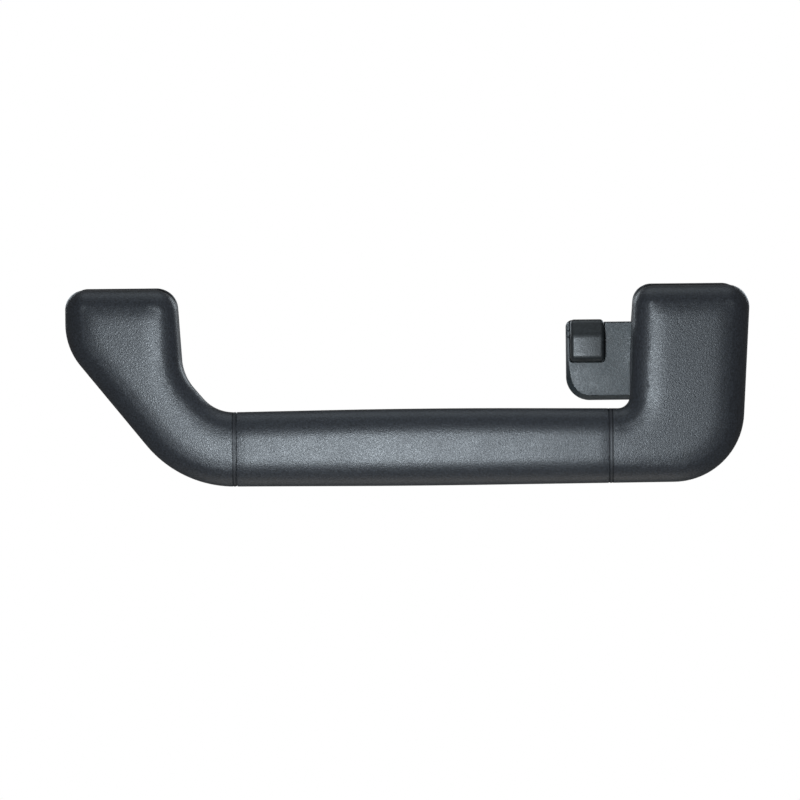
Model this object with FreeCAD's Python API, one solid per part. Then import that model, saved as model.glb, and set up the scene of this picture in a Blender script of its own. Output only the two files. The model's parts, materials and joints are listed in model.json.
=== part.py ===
"""Folding roof grab handle for a car, with a fold-out coat hook beside its right-hand end.

A C-shaped handle hangs from two hinge blocks that screw to the roof rail. Each hinge block is a die-cast bracket
in a plastic tray, with a cover and a snap cap over its screw. The handle is a glass-filled core inside moulded
shells: two end shells, each with an elbow cover behind, and a two-part grip between two thin seam rings. A torsion
spring in the left-hand hinge pulls the handle back to the roof, and a grease damper in the right-hand hinge slows it.
The coat hook is a sprung lever on a pin, in a pocket of a plate that is fixed to the right-hand tray.

Frame, in millimetres: X runs along the handle, -Y points into the car, and +Z points away from the grip bar.
The origin lies on the roof rail's face, midway between the two mounting screws.
"""

import FreeCAD, Part
import math
import os

V = FreeCAD.Vector

# ---- Driving dimensions ----
SCREW_SPACING = 200.0     # between the two mounting screws
Z_TOP = 25.5              # top edge of both pads, above the screws
BAR_DEPTH = 19.0          # thickness of the grip bar, front to back
PAD_DEPTH = 21.0          # depth of the pads, from the front face to the open rim
WALL = 2.2                # thickness of the moulded shells
FRONT_ROLL = 5.6          # radius round the front edges
BACK_ROLL = 6.0           # radius round the back edges of the bar

LINER = 5.0               # thickness of the roof lining, between the roof rail and the trays
TRAY_DEPTH = 6.0          # depth of each tray
TRAY_FLOOR = 2.0
TRAY_WALL = 1.8
RIM_GAP = 0.6             # between the pads' rims and the trays
SWING_GAP = 0.3           # least gap between the trays and the pads as they turn

HINGE_DROP = 8.5          # from the pads' top edge down to the hinge axis
PIN_R = 2.5
BUSH_R = 3.5
KNUCKLE_R = 4.6
EAR_R = 5.5
EAR_FOOT_Z = 2.0
EAR = (9.5, 12.5)         # where the bracket's ears stand, each side of the hinge block's middle
KNUCKLE = (12.8, 15.2)    # where the core's knuckles stand

SEAM_LEFT = -60.5         # middle of the left-hand seam ring
SEAM_RIGHT = 72.0         # middle of the right-hand seam ring
RING_WIDTH = 0.9
RING_GAP = 0.3
GRIP_GAP = 0.35
PART_GAP = 0.12           # the fine line between the front and back shells
LIP = 0.25                # small radius on the grip's end edges

# ---- Places worked out from the driving dimensions ----
Y_TRAY_BACK = -LINER
Y_TRAY_FLOOR = Y_TRAY_BACK - TRAY_FLOOR
Y_TRAY = Y_TRAY_BACK - TRAY_DEPTH
Y_RIM = Y_TRAY - RIM_GAP
Y_FRONT = Y_RIM - PAD_DEPTH
Y_BAR_BACK = Y_FRONT + BAR_DEPTH
Y_PART = (Y_FRONT + Y_BAR_BACK) / 2 + 1.0
Y_HINGE = Y_TRAY - SWING_GAP - HINGE_DROP
Z_HINGE = Z_TOP - HINGE_DROP
Y_INSIDE = Y_FRONT + WALL
Z_PAD_END = -11.5         # the pads' open backs end here, and the elbows' closed backs begin
BLOCK_X = {"left": -SCREW_SPACING / 2, "right": SCREW_SPACING / 2}
INWARD = {"left": 1.0, "right": -1.0}

Y_CORE_FRONT = Y_INSIDE + 0.2
Y_CORE_PLATE = Y_CORE_FRONT + 4.0
Y_CORE_BEAM = Y_BAR_BACK - WALL - 1.7
CORE_INSET = 4.6

Y_FLANGE = -10.0
SCREW_R = 3.0
SHOULDER_R = 3.3          # the screws' plain shoulder inside the bracket
SCREW_HOLE_R = 3.5
SCREW_HEAD_R = 6.5
SCREW_HEAD = 3.6
SCREW_REACH = 11.0        # how far the mounting screws stand out behind the roof rail's face
WASHER_R = 6.9
WASHER = 1.2
PEG_R = 3.0
PEG_REACH = 6.0
PEG_CHAMFER = 0.5
PEG_Z = 13.0
BOSS_R = 9.0
TOWER_R = 8.2
TOWER_BORE_R = 7.2
Y_COVER = -11.8
Y_TOWER = -16.2
BUMPER_R = 2.4
BUMPER = 3.0
BUMPER_GAP = 0.1

FAR = 400.0               # larger than the whole object, for cutting blocks

# The handle seen from the front: each corner's x, its distance below the pads' top edge, and its radius.
OUTLINE = [
    (-119.7, 0.0, 6.8),       # left pad, outer top corner
    (-119.7, 20.2, 23.0),     # where the outer side starts to slant
    (-79.6, 69.5, 40.0),      # into the bar's lower edge
    (5.0, 70.0, 4000.0),      # gentle crown along the bar's lower edge
    (117.7, 69.35, 25.0),     # right-hand bottom corner
    (121.7, 0.2, 7.8),        # right pad, outer top corner
    (81.0, 0.2, 7.0),         # right pad, inner top corner
    (78.9, 43.4, 4.2),        # right pad into the bar's upper edge
    (6.0, 42.6, 3000.0),      # gentle crown along the bar's upper edge
    (-67.2, 43.5, 14.0),      # the bar's upper edge into the left elbow
    (-79.1, 30.0, 18.0),      # left elbow into the pad's inner side
    (-81.0, 0.0, 8.2),        # left pad, inner top corner
]
TRAY_TOP = 0.9            # the trays' top edges stand this far above the pads
TRAY_OUTLINES = {
    "left": [
        (-118.8, -TRAY_TOP, 6.0),
        (-118.8, 20.0, 22.0),
        (-106.2, 36.0, 3.0),
        (-76.2, 36.0, 1.5),
        (-79.4, 29.8, 12.0),
        (-81.5, -TRAY_TOP, 7.4),
    ],
    "right": [
        (120.5, -TRAY_TOP, 7.4),
        (81.7, -TRAY_TOP, 6.4),
        (80.6, 13.0, 8.0),
        (80.6, 40.4, 1.0),
        (117.8, 40.4, 4.0),
    ],
}

# ---- Coat hook ----
HOOK_LEFT = 57.3
HOOK_RIGHT = 80.4
HOOK_TOP = 13.0
EAR_TOP = 13.75
EAR_STEP = 62.0           # behind the lever, the plate's top steps down here
HOOK_BOTTOM = -14.9
HOOK_CORNER = 8.4
HOOK_EDGE = 1.2           # rounding along the plate's front edges
LEVER = (58.6, 70.7)
LEVER_TOP = 13.85
LEVER_TIP = -1.3
LEVER_FRONT = -15.6
LEVER_BACK = -9.5
HOOK_AXIS = (-9.0, 9.5)   # y and z of the lever's pin
HOOK_PIN_R = 1.0
POCKET = (58.4, 71.0)
POCKET_FLOOR = -6.5
POCKET_END = -1.5
SWING_FLOOR = -5.9        # deeper, where the lever's top swings back
SWING_FROM = 4.5


# ---- Small helpers ----
def below_top(corners):
    """Corners given as distances below the pads' top edge, as x, z and radius."""
    return [(x, Z_TOP - drop, r) for x, drop, r in corners]


def turning(a, b, c):
    """Positive where the outline turns anticlockwise at b."""
    return (b[0] - a[0]) * (c[1] - b[1]) - (b[1] - a[1]) * (c[0] - b[0])


def anticlockwise(corners):
    n = len(corners)
    area = sum(corners[i][0] * corners[(i + 1) % n][1] - corners[(i + 1) % n][0] * corners[i][1] for i in range(n))
    return corners if area > 0 else corners[::-1]


def inset(corners, distance):
    """The same outline moved inwards, with each radius changed to stay concentric."""
    pts = anticlockwise(corners)
    n = len(pts)
    moved = []
    for i in range(n):
        a, b, c = pts[i - 1], pts[i], pts[(i + 1) % n]
        lines = []
        for p, q in ((a, b), (b, c)):
            dx, dz = q[0] - p[0], q[1] - p[1]
            length = math.hypot(dx, dz)
            dx, dz = dx / length, dz / length
            lines.append((p[0] - dz * distance, p[1] + dx * distance, dx, dz))
        (x1, z1, dx1, dz1), (x2, z2, dx2, dz2) = lines
        along = ((x2 - x1) * dz2 - (z2 - z1) * dx2) / (dx1 * dz2 - dz1 * dx2)
        convex = turning(a, b, c) > 0
        radius = max(0.2, b[2] - distance) if convex else b[2] + distance
        moved.append((x1 + along * dx1, z1 + along * dz1, radius))
    return moved


def rounded_wire(corners, place):
    """A closed wire through the corners, each rounded by its radius. place turns two plane numbers into a point."""
    n = len(corners)
    arcs = []
    for i in range(n):
        before, corner, after = corners[i - 1], corners[i], corners[(i + 1) % n]
        p = place(corner[0], corner[1])
        to_before = (place(before[0], before[1]) - p).normalize()
        to_after = (place(after[0], after[1]) - p).normalize()
        half = to_before.getAngle(to_after) / 2
        reach = corner[2] / math.tan(half)
        middle = (to_before + to_after).normalize()
        start = p + to_before * reach
        end = p + to_after * reach
        arcs.append((start, p + middle * (corner[2] / math.sin(half) - corner[2]), end))
    edges = []
    for i in range(n):
        start, middle, end = arcs[i]
        following = arcs[(i + 1) % n][0]
        edges.append(Part.Arc(start, middle, end).toShape())
        if (following - end).Length > 1e-6:
            edges.append(Part.LineSegment(end, following).toShape())
    return Part.Wire(edges)


def slab(corners, y0, y1):
    """The outline in X and Z, as a solid from y0 to y1."""
    wire = rounded_wire(corners, lambda x, z: V(x, y0, z))
    return Part.Face(wire).extrude(V(0, y1 - y0, 0))


def edges_at(shape, y):
    return [e for e in shape.Edges if abs(e.BoundBox.YMin - y) < 1e-6 and abs(e.BoundBox.YMax - y) < 1e-6]


def rolled_slab(corners, front, back, front_roll, back_roll):
    """A slab with its front and back edges rolled over."""
    body = slab(corners, front, back)
    if back_roll:
        body = body.makeFillet(back_roll, edges_at(body, back))
    return body.makeFillet(front_roll, edges_at(body, front))


def block(x0, x1, y0, y1, z0, z1):
    return Part.makeBox(x1 - x0, y1 - y0, z1 - z0, V(x0, y0, z0))


def along_x(radius, x0, x1, y, z):
    return Part.makeCylinder(radius, x1 - x0, V(x0, y, z), V(1, 0, 0))


def along_y(radius, y0, y1, x, z):
    return Part.makeCylinder(radius, y1 - y0, V(x, y0, z), V(0, 1, 0))


def hinge_rod(radius, x0, x1):
    return along_x(radius, x0, x1, Y_HINGE, Z_HINGE)


def yz_prism(corners, x0, x1):
    """A rounded outline in Y and Z, as a solid from x0 to x1."""
    wire = rounded_wire(corners, lambda y, z: V(x0, y, z))
    return Part.Face(wire).extrude(V(x1 - x0, 0, 0))


def one(shape):
    """The shape with its coplanar faces merged."""
    return shape.removeSplitter()


def save(name, shape):
    shape.exportStep(f"parts/{name}.step")


# ---- The handle's outer form and its hollow ----
HANDLE = below_top(OUTLINE)
HOLLOW = inset(HANDLE, WALL)

full_bar = rolled_slab(HANDLE, Y_FRONT, Y_BAR_BACK, FRONT_ROLL, BACK_ROLL)
full_pad = rolled_slab(HANDLE, Y_FRONT, Y_RIM, FRONT_ROLL, 0)
bar_hollow = rolled_slab(HOLLOW, Y_INSIDE, Y_BAR_BACK - WALL, FRONT_ROLL - WALL, BACK_ROLL - WALL)
pad_hollow = rolled_slab(HOLLOW, Y_INSIDE, Y_RIM + 1.0, FRONT_ROLL - WALL, 0)


def region(side):
    """The X range of an end shell, up to its seam ring."""
    if side == "left":
        return -FAR, SEAM_LEFT - RING_WIDTH / 2 - RING_GAP
    return SEAM_RIGHT + RING_WIDTH / 2 + RING_GAP, FAR


def end_blank(side):
    """An end with its elbow, hollowed, before it is split into its shell and cover."""
    x0, x1 = region(side)
    pad_zone = block(x0, x1, -FAR, FAR, Z_PAD_END, FAR)
    elbow_zone = block(x0, x1, -FAR, FAR, -FAR, Z_PAD_END)
    blank = full_pad.common(pad_zone).fuse(full_bar.common(elbow_zone))
    blank = blank.cut(pad_hollow.common(block(x0, x1, -FAR, FAR, Z_PAD_END + WALL, FAR)))
    blank = blank.cut(bar_hollow.common(elbow_zone))
    return blank.cut(bar_hollow.common(block(x0, x1, -FAR, Y_CORE_PLATE + 0.3, -FAR, FAR)))


def hinge_clearance(x):
    """What a pad loses round its hinge: the corner that would strike the tray, and the window for the ears."""
    corner = block(x - 25, x + 25, Y_HINGE, Y_RIM + 1, Z_HINGE, Z_TOP + 1)
    corner = corner.cut(hinge_rod(HINGE_DROP, x - 26, x + 26))
    window = block(x - 13.2, x + 13.2, Y_HINGE - 2.0, Y_RIM + 1, Z_HINGE + 4.0, Z_TOP + 1)
    return corner.fuse(window)


def shell_screw_places(side):
    return [(BLOCK_X[side] + dx, 2.0) for dx in (-8.0, 8.0)]


def end_parts(side):
    """The end shell and the elbow cover behind it."""
    x0, x1 = region(side)
    blank = end_blank(side)
    behind = block(x0, x1, Y_PART, FAR, -FAR, Z_PAD_END)
    shell = blank.cut(behind).cut(hinge_clearance(BLOCK_X[side]))
    for x, z in shell_screw_places(side):
        shell = shell.cut(along_y(1.3, Y_FRONT + 1.2, Y_INSIDE, x, z))
    cover = blank.common(block(x0, x1, Y_PART + PART_GAP, FAR, -FAR, Z_PAD_END - PART_GAP))
    return one(shell), one(cover)


# ---- Grip between the seams ----
GRIP_X = (SEAM_LEFT + RING_WIDTH / 2 + GRIP_GAP, SEAM_RIGHT - RING_WIDTH / 2 - GRIP_GAP)


def end_lips(shape):
    """The outer edges round both ends of the grip."""
    lips = []
    for e in shape.Edges:
        b = e.BoundBox
        at_end = b.XLength < 1e-6 and min(abs(b.XMin - GRIP_X[0]), abs(b.XMin - GRIP_X[1])) < 1e-6
        if at_end:
            lips.append(e)
    return lips


def snap_tongues():
    """Four tongues inside the back shell that hook into the front shell."""
    ring = slab(inset(HANDLE, WALL + 0.15), Y_PART - 3.0, Y_BAR_BACK - WALL - 3.0)
    root = slab(inset(HANDLE, WALL - 0.2), Y_PART + 0.4, Y_BAR_BACK - WALL - 3.0)
    band = ring.fuse(root).cut(slab(inset(HANDLE, WALL + 1.5), Y_PART - 4.0, Y_BAR_BACK))
    pieces = []
    for x in (-40.0, 50.0):
        for z0, z1 in ((-FAR, -40.0), (-24.0, -15.0)):
            pieces.append(band.common(block(x - 4, x + 4, -FAR, FAR, z0, z1)))
    return pieces


def grip_shells():
    outer = full_bar.common(block(*GRIP_X, -FAR, FAR, -FAR, FAR))
    outer = outer.makeFillet(LIP, end_lips(outer))
    tube = outer.cut(bar_hollow)
    front = tube.common(block(-FAR, FAR, -FAR, Y_PART, -FAR, FAR))
    back = tube.common(block(-FAR, FAR, Y_PART + PART_GAP, FAR, -FAR, FAR))
    back = back.fuse(snap_tongues())
    return one(front), one(back)


def seam_ring(x):
    ring = full_bar.common(block(x - RING_WIDTH / 2, x + RING_WIDTH / 2, -FAR, FAR, -FAR, FAR))
    return ring.cut(slab(inset(HANDLE, CORE_INSET - 0.2), Y_CORE_FRONT - 0.2, Y_CORE_BEAM + 0.2))


# ---- Core: a plate behind the front faces, a beam through the bar, and two knuckles at each hinge ----
def knuckle(x0, x1):
    body = block(x0, x1, Y_CORE_PLATE - 1.0, Y_HINGE, Z_HINGE - KNUCKLE_R, Z_HINGE + KNUCKLE_R)
    return body.fuse(hinge_rod(KNUCKLE_R, x0, x1))


def bumper_place(side):
    return BLOCK_X[side] + INWARD[side] * 13.0, 0.0


def core():
    plan = inset(HANDLE, CORE_INSET)
    body = slab(plan, Y_CORE_FRONT, Y_CORE_PLATE)
    beam = slab(plan, Y_CORE_FRONT, Y_CORE_BEAM).common(block(-FAR, FAR, -FAR, FAR, -FAR, Z_PAD_END - 1.0))
    body = body.fuse(beam)
    for side, x in BLOCK_X.items():
        for sign in (-1, 1):
            x0, x1 = sorted((x + sign * KNUCKLE[0], x + sign * KNUCKLE[1]))
            body = body.fuse(knuckle(x0, x1))
            body = body.cut(hinge_rod(BUSH_R, x0 - 1, x1 + 1))
        px, pz = bumper_place(side)
        body = body.fuse(along_y(BUMPER_R + 0.2, Y_CORE_PLATE, Y_COVER - BUMPER - BUMPER_GAP, px, pz))
        for sx, sz in shell_screw_places(side):
            body = body.cut(along_y(1.5, Y_CORE_FRONT - 1, Y_CORE_PLATE + 1, sx, sz))
    body = body.cut(along_y(0.8, Y_CORE_PLATE - 3, Y_CORE_PLATE + 1, SPRING_LEG_X, SPRING_LEG_Z))
    body = body.cut(rotor_key(0.05))
    return one(body)


# ---- Hinge pieces ----
def bushes():
    rings = []
    for side, x in BLOCK_X.items():
        for sign in (-1, 1):
            near = KNUCKLE[0]
            if side == "right" and sign == 1:
                near = ROTOR_KEY_END + 0.1
            x0, x1 = sorted((x + sign * near, x + sign * KNUCKLE[1]))
            rings.append(hinge_rod(BUSH_R, x0, x1).cut(hinge_rod(PIN_R + 0.05, x0 - 1, x1 + 1)))
    return Part.makeCompound(rings)


PIN_HEAD = (-16.3, -15.3)
PIN_END = 16.3
CLIP_GROOVE = (15.4, 16.1)
CLIP_R = 3.6


def hinge_pin(x):
    pin = hinge_rod(PIN_R, x + PIN_HEAD[1], x + PIN_END)
    pin = pin.fuse(hinge_rod(3.4, x + PIN_HEAD[0], x + PIN_HEAD[1]))
    groove = hinge_rod(PIN_R + 1, x + CLIP_GROOVE[0], x + CLIP_GROOVE[1])
    groove = groove.cut(hinge_rod(2.0, x + CLIP_GROOVE[0], x + CLIP_GROOVE[1]))
    return pin.cut(groove)


def pin_clip(x):
    x0, x1 = x + CLIP_GROOVE[0] + 0.05, x + CLIP_GROOVE[1] - 0.05
    clip = hinge_rod(CLIP_R, x0, x1).cut(hinge_rod(2.03, x0 - 1, x1 + 1))
    return clip.cut(block(x0 - 1, x1 + 1, Y_HINGE - 1.7, Y_HINGE + 1.7, Z_HINGE - 6, Z_HINGE))


def tray_outline(side):
    return below_top(TRAY_OUTLINES[side])


def boss_shape(x, radius, y0, y1):
    """The bracket's boss, a round-ended block over the screw and the locating peg."""
    body = along_y(radius, y0, y1, x, 0).fuse(along_y(radius, y0, y1, x, PEG_Z - 1.0))
    return body.fuse(block(x - radius, x + radius, y0, y1, 0, PEG_Z - 1.0))


def ear(x0, x1):
    neck = [
        (Y_HINGE, Z_HINGE + 0.5, 0.2),
        (Y_FLANGE + 0.5, Z_HINGE + 0.5, 0.2),
        (Y_FLANGE + 0.5, EAR_FOOT_Z, 0.2),
        (Y_HINGE - 1.5, Z_HINGE - 5.2, 2.0),
    ]
    return hinge_rod(EAR_R, x0, x1).fuse(yz_prism(neck, x0, x1))


def bracket(side):
    x = BLOCK_X[side]
    inside_tray = slab(inset(tray_outline(side), TRAY_WALL + 0.3), Y_FLANGE, Y_TRAY_FLOOR)
    body = inside_tray.common(block(x - 13, x + 13, -FAR, FAR, -FAR, FAR))
    body = body.fuse(boss_shape(x, BOSS_R, Y_TRAY_FLOOR, 0))
    for sign in (-1, 1):
        x0, x1 = sorted((x + sign * EAR[0], x + sign * EAR[1]))
        body = body.fuse(ear(x0, x1))
        bore = EAR_BORE_WIDE if side == "right" and sign == 1 else PIN_R
        body = body.cut(hinge_rod(bore, x0 - 1, x1 + 1))
    peg = along_y(PEG_R, 0, PEG_REACH, x, PEG_Z)
    body = body.fuse(peg.makeChamfer(PEG_CHAMFER, edges_at(peg, PEG_REACH)))
    body = body.cut(along_y(SCREW_HOLE_R, Y_FLANGE - 1, 1, x, 0))
    if side == "right":
        body = body.cut(damper_dog(0.1))
    return one(body)


def tray(side):
    x = BLOCK_X[side]
    outline = tray_outline(side)
    body = slab(outline, Y_TRAY, Y_TRAY_BACK)
    body = body.makeFillet(0.8, edges_at(body, Y_TRAY))
    body = body.cut(slab(inset(outline, TRAY_WALL), Y_TRAY - 1, Y_TRAY_FLOOR))
    body = body.cut(boss_shape(x, BOSS_R + 0.3, Y_TRAY_FLOOR - 1, Y_TRAY_BACK + 1))
    if side == "right":
        body = body.cut(block(80.0, 83.0, TONGUE_Y[0] - 0.2, TONGUE_Y[1] + 0.2, TONGUE_Z[0] - 0.2, TONGUE_Z[1] + 0.2))
        for sx, sz in HOOK_SCREWS:
            body = body.cut(along_y(1.1, Y_TRAY_FLOOR - 1, Y_TRAY_BACK + 1, sx, sz))
            body = body.cut(along_y(2.1, Y_TRAY_BACK - 1.2, Y_TRAY_BACK + 1, sx, sz))
    return one(body)


def hinge_cover(side):
    """Plate over the tray, a tower round the screw, and a half barrel over the spring or damper."""
    x = BLOCK_X[side]
    in_tray = slab(inset(tray_outline(side), TRAY_WALL + 0.3), Y_COVER, Y_FLANGE)
    plate = in_tray.common(slab(inset(HANDLE, WALL + 0.7), Y_COVER, Y_FLANGE))
    plate = plate.common(block(x - 25, x + 25, -FAR, FAR, Z_PAD_END + WALL + 0.7, Z_HINGE - HINGE_DROP + 0.1))
    tower = along_y(TOWER_R, Y_TOWER, Y_FLANGE, x, 0)
    tower = tower.makeFillet(0.6, edges_at(tower, Y_TOWER))
    barrel = hinge_rod(BARREL_R, x - BARREL_HALF, x + BARREL_HALF)
    barrel = barrel.fuse(block(x - BARREL_HALF, x + BARREL_HALF, Y_HINGE + 4.6, Y_FLANGE, 8.0, 16.4))
    barrel = barrel.cut(hinge_rod(BARREL_BORE, x - 10, x + 10))
    barrel = barrel.cut(block(x - 10, x + 10, Y_HINGE - 10, Y_HINGE - 2.5, Z_HINGE - 10, Z_HINGE + 10))
    barrel = barrel.cut(block(x - 10, x + 10, Y_HINGE - 10, Y_HINGE + 2.5, Z_HINGE - 10, Z_HINGE))
    body = plate.fuse(tower).fuse(barrel)
    body = body.cut(along_y(TOWER_BORE_R, Y_TOWER - 1, Y_FLANGE + 1, x, 0))
    for sign in (-1, 1):
        x0, x1 = sorted((x + sign * (EAR[0] - 0.15), x + sign * (EAR[1] + 0.15)))
        body = body.cut(block(x0, x1, -FAR, FAR, EAR_FOOT_Z - 0.2, FAR))
    if side == "left":
        slot_x = x + SPRING_HALF
        body = body.cut(block(slot_x - 1.2, slot_x + 1.2, -FAR, FAR, Z_HINGE - COIL_R - 1.0, Z_HINGE - COIL_R + 1.0))
    return one(body)


def screw_cap(x):
    cap = along_y(TOWER_R, Y_TOWER - 1.1, Y_TOWER, x, 0)
    cap = cap.makeFillet(0.7, edges_at(cap, Y_TOWER - 1.1))
    plug = along_y(TOWER_BORE_R - 0.1, Y_TOWER, Y_TOWER + 1.0, x, 0)
    plug = plug.cut(along_y(TOWER_BORE_R - 1.2, Y_TOWER, Y_TOWER + 1.0, x, 0))
    cap = cap.fuse(plug)
    return one(cap.cut(block(x - 2.0, x + 2.0, Y_TOWER - 0.4, Y_TOWER, -TOWER_R - 1, -TOWER_R + 0.8)))


def six_lobes(x, z, y0, y1, size):
    """A six-lobed driver recess."""
    recess = along_y(size * 0.72, y0, y1, x, z)
    for i in range(6):
        angle = math.radians(60 * i)
        cx, cz = x + size * 0.78 * math.cos(angle), z + size * 0.78 * math.sin(angle)
        recess = recess.fuse(along_y(size * 0.22, y0, y1, cx, cz))
    return recess


Y_SCREW_SEAT = Y_FLANGE - WASHER


def mount_screw(x):
    head = along_y(SCREW_HEAD_R, Y_SCREW_SEAT - SCREW_HEAD, Y_SCREW_SEAT, x, 0)
    head = head.makeFillet(1.6, edges_at(head, Y_SCREW_SEAT - SCREW_HEAD))
    shank = along_y(SCREW_R, 0, SCREW_REACH, x, 0)
    shank = shank.makeChamfer(0.8, edges_at(shank, SCREW_REACH))
    shank = shank.fuse(along_y(SHOULDER_R, Y_SCREW_SEAT, 0, x, 0))
    return head.fuse(shank).cut(six_lobes(x, 0, Y_SCREW_SEAT - SCREW_HEAD, Y_SCREW_SEAT - 1.2, 3.2))


def washer(x):
    disc = along_y(WASHER_R, Y_SCREW_SEAT, Y_FLANGE, x, 0)
    return disc.cut(along_y(SCREW_HOLE_R, Y_SCREW_SEAT - 1, Y_FLANGE + 1, x, 0))


def bumper(side):
    x, z = bumper_place(side)
    body = along_y(BUMPER_R, Y_COVER - BUMPER - BUMPER_GAP, Y_COVER - BUMPER_GAP, x, z)
    return body.makeFillet(0.6, edges_at(body, Y_COVER - BUMPER_GAP))


def shell_screw(x, z):
    head = along_y(2.5, Y_CORE_PLATE, Y_CORE_PLATE + 1.8, x, z)
    head = head.makeFillet(0.7, edges_at(head, Y_CORE_PLATE + 1.8))
    shank = along_y(1.3, Y_FRONT + 1.4, Y_CORE_PLATE, x, z)
    return head.fuse(shank).cut(six_lobes(x, z, Y_CORE_PLATE + 0.8, Y_CORE_PLATE + 2.0, 1.3))


# ---- Return spring on the left-hand hinge pin ----
COIL_R = 4.15
WIRE_R = 0.55
BEND = 1.15               # the wire swells by this where it bends into a leg
COIL_END = 0.2            # each coil's first and last stretch, in turns, which carries a leg
COIL_TURNS = 9.25
SPRING_HALF = 7.8
BARREL_R = 6.0
BARREL_BORE = 5.1
BARREL_HALF = 9.3
SPRING_LEG_X = BLOCK_X["left"] - SPRING_HALF
SPRING_LEG_Z = Z_HINGE - 11.0


def coil_stretch(radius, wire_r, pitch, first, last):
    """Part of a coil along Z, from one turn to another."""
    helix = Part.makeHelix(pitch, pitch * (last - first), radius)
    section = Part.Wire(Part.makeCircle(wire_r, V(radius, 0, 0), V(0, 1, 0)))
    stretch = Part.Wire(helix.Edges).makePipeShell([section], True, True)
    stretch.rotate(V(0, 0, 0), V(0, 0, 1), 360 * first)
    stretch.translate(V(0, 0, pitch * first))
    return stretch


def coil(radius, wire_r, turns, x0, x1, y, z, start_deg):
    """A close-wound coil along X from x0 to x1, whose first point lies start_deg from +Y towards +Z."""
    pitch = (x1 - x0) / turns
    ends = [coil_stretch(radius, wire_r, pitch, first, first + COIL_END) for first in (0, turns - COIL_END)]
    shape = coil_stretch(radius, wire_r, pitch, COIL_END, turns - COIL_END).fuse(ends)
    shape.rotate(V(0, 0, 0), V(0, 1, 0), 90)
    shape.rotate(V(0, 0, 0), V(1, 0, 0), start_deg + 90)
    shape.translate(V(x0, y, z))
    return shape


def with_legs(spring, legs, wire_r):
    """The coil with straight legs, each from its first point, and a small swelling at each bend."""
    rods = [Part.makeCylinder(wire_r, (q - p).Length, p, q - p) for p, q in legs]
    bends = [Part.makeSphere(wire_r * BEND, p) for p, q in legs]
    return spring.fuse(rods + bends)


def return_spring():
    """Coil with one leg to the bracket's flange and one hooked into the core's plate."""
    x0, x1 = SPRING_LEG_X, BLOCK_X["left"] + SPRING_HALF
    body = coil(COIL_R, WIRE_R, COIL_TURNS, x0, x1, Y_HINGE, Z_HINGE, 180.0)
    leg_top = V(x0, Y_HINGE - COIL_R, Z_HINGE)
    leg_end = V(x0, Y_HINGE - COIL_R, SPRING_LEG_Z)
    hook_end = V(x0, Y_CORE_PLATE - 2.6, SPRING_LEG_Z)
    fixed_top = V(x1, Y_HINGE, Z_HINGE - COIL_R)
    fixed_end = V(x1, Y_FLANGE - 0.1, Z_HINGE - COIL_R)
    return with_legs(body, [(leg_top, leg_end), (leg_end, hook_end), (fixed_top, fixed_end)], WIRE_R)


def spring_spool():
    x = BLOCK_X["left"]
    return hinge_rod(3.3, x - 9.3, x + 9.3).cut(hinge_rod(PIN_R + 0.05, x - 10, x + 10))


# ---- Grease damper on the right-hand hinge pin ----
EAR_BORE_WIDE = 3.7
ROTOR_R = 3.5
ROTOR_KEY_END = 14.4
DAMPER_R = 4.9
DAMPER_BORE = 3.7


def rotor_key(clearance):
    """Six-sided drive end of the rotor, in the core's outer knuckle. The core's socket is this with clearance."""
    x0, x1 = BLOCK_X["right"] + KNUCKLE[0] - 0.2, BLOCK_X["right"] + ROTOR_KEY_END + clearance
    size = 3.9 + clearance
    points = [V(x0, Y_HINGE + size * math.cos(math.radians(60 * i)), Z_HINGE + size * math.sin(math.radians(60 * i)))
              for i in range(6)]
    return Part.Face(Part.makePolygon(points + points[:1])).extrude(V(x1 - x0, 0, 0))


def damper_rotor():
    x = BLOCK_X["right"]
    body = hinge_rod(ROTOR_R, x - 9.0, x + KNUCKLE[0] - 0.1).fuse(rotor_key(0.0))
    for i in range(4):
        body = body.cut(damper_groove(x - 6.0 + 3.6 * i))
    return one(body.cut(hinge_rod(PIN_R + 0.05, x - 10, x + 16)))


def damper_groove(x):
    ring = hinge_rod(ROTOR_R + 1, x, x + 1.6)
    return ring.cut(hinge_rod(ROTOR_R - 0.4, x, x + 1.6))


def damper_dog(clearance):
    """Lug that keys the damper's housing to the bracket's inner ear."""
    x = BLOCK_X["right"]
    reach = EAR[0] + 1.2
    return block(x - reach - clearance, x - 9.0, Y_HINGE - 1.0 - clearance, Y_HINGE + 1.0 + clearance,
                 Z_HINGE + DAMPER_BORE - clearance, Z_HINGE + DAMPER_R - 0.1 + clearance)


def damper_housing():
    x = BLOCK_X["right"]
    body = hinge_rod(DAMPER_R, x - 9.3, x + 9.3).cut(hinge_rod(DAMPER_BORE, x - 10, x + 10))
    return one(body.fuse(damper_dog(0.0)))


# ---- Coat hook ----
TONGUE_Y = (-9.6, -7.1)
TONGUE_Z = (-9.0, 7.0)
HOOK_SCREWS = [(84.2, -5.5), (84.2, 3.5)]
HOOK_SPRING_X = (63.3, 66.7)
HOOK_COIL_R = 1.85
HOOK_WIRE_R = 0.28
HOOK_COIL_TURNS = 5.5


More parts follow.
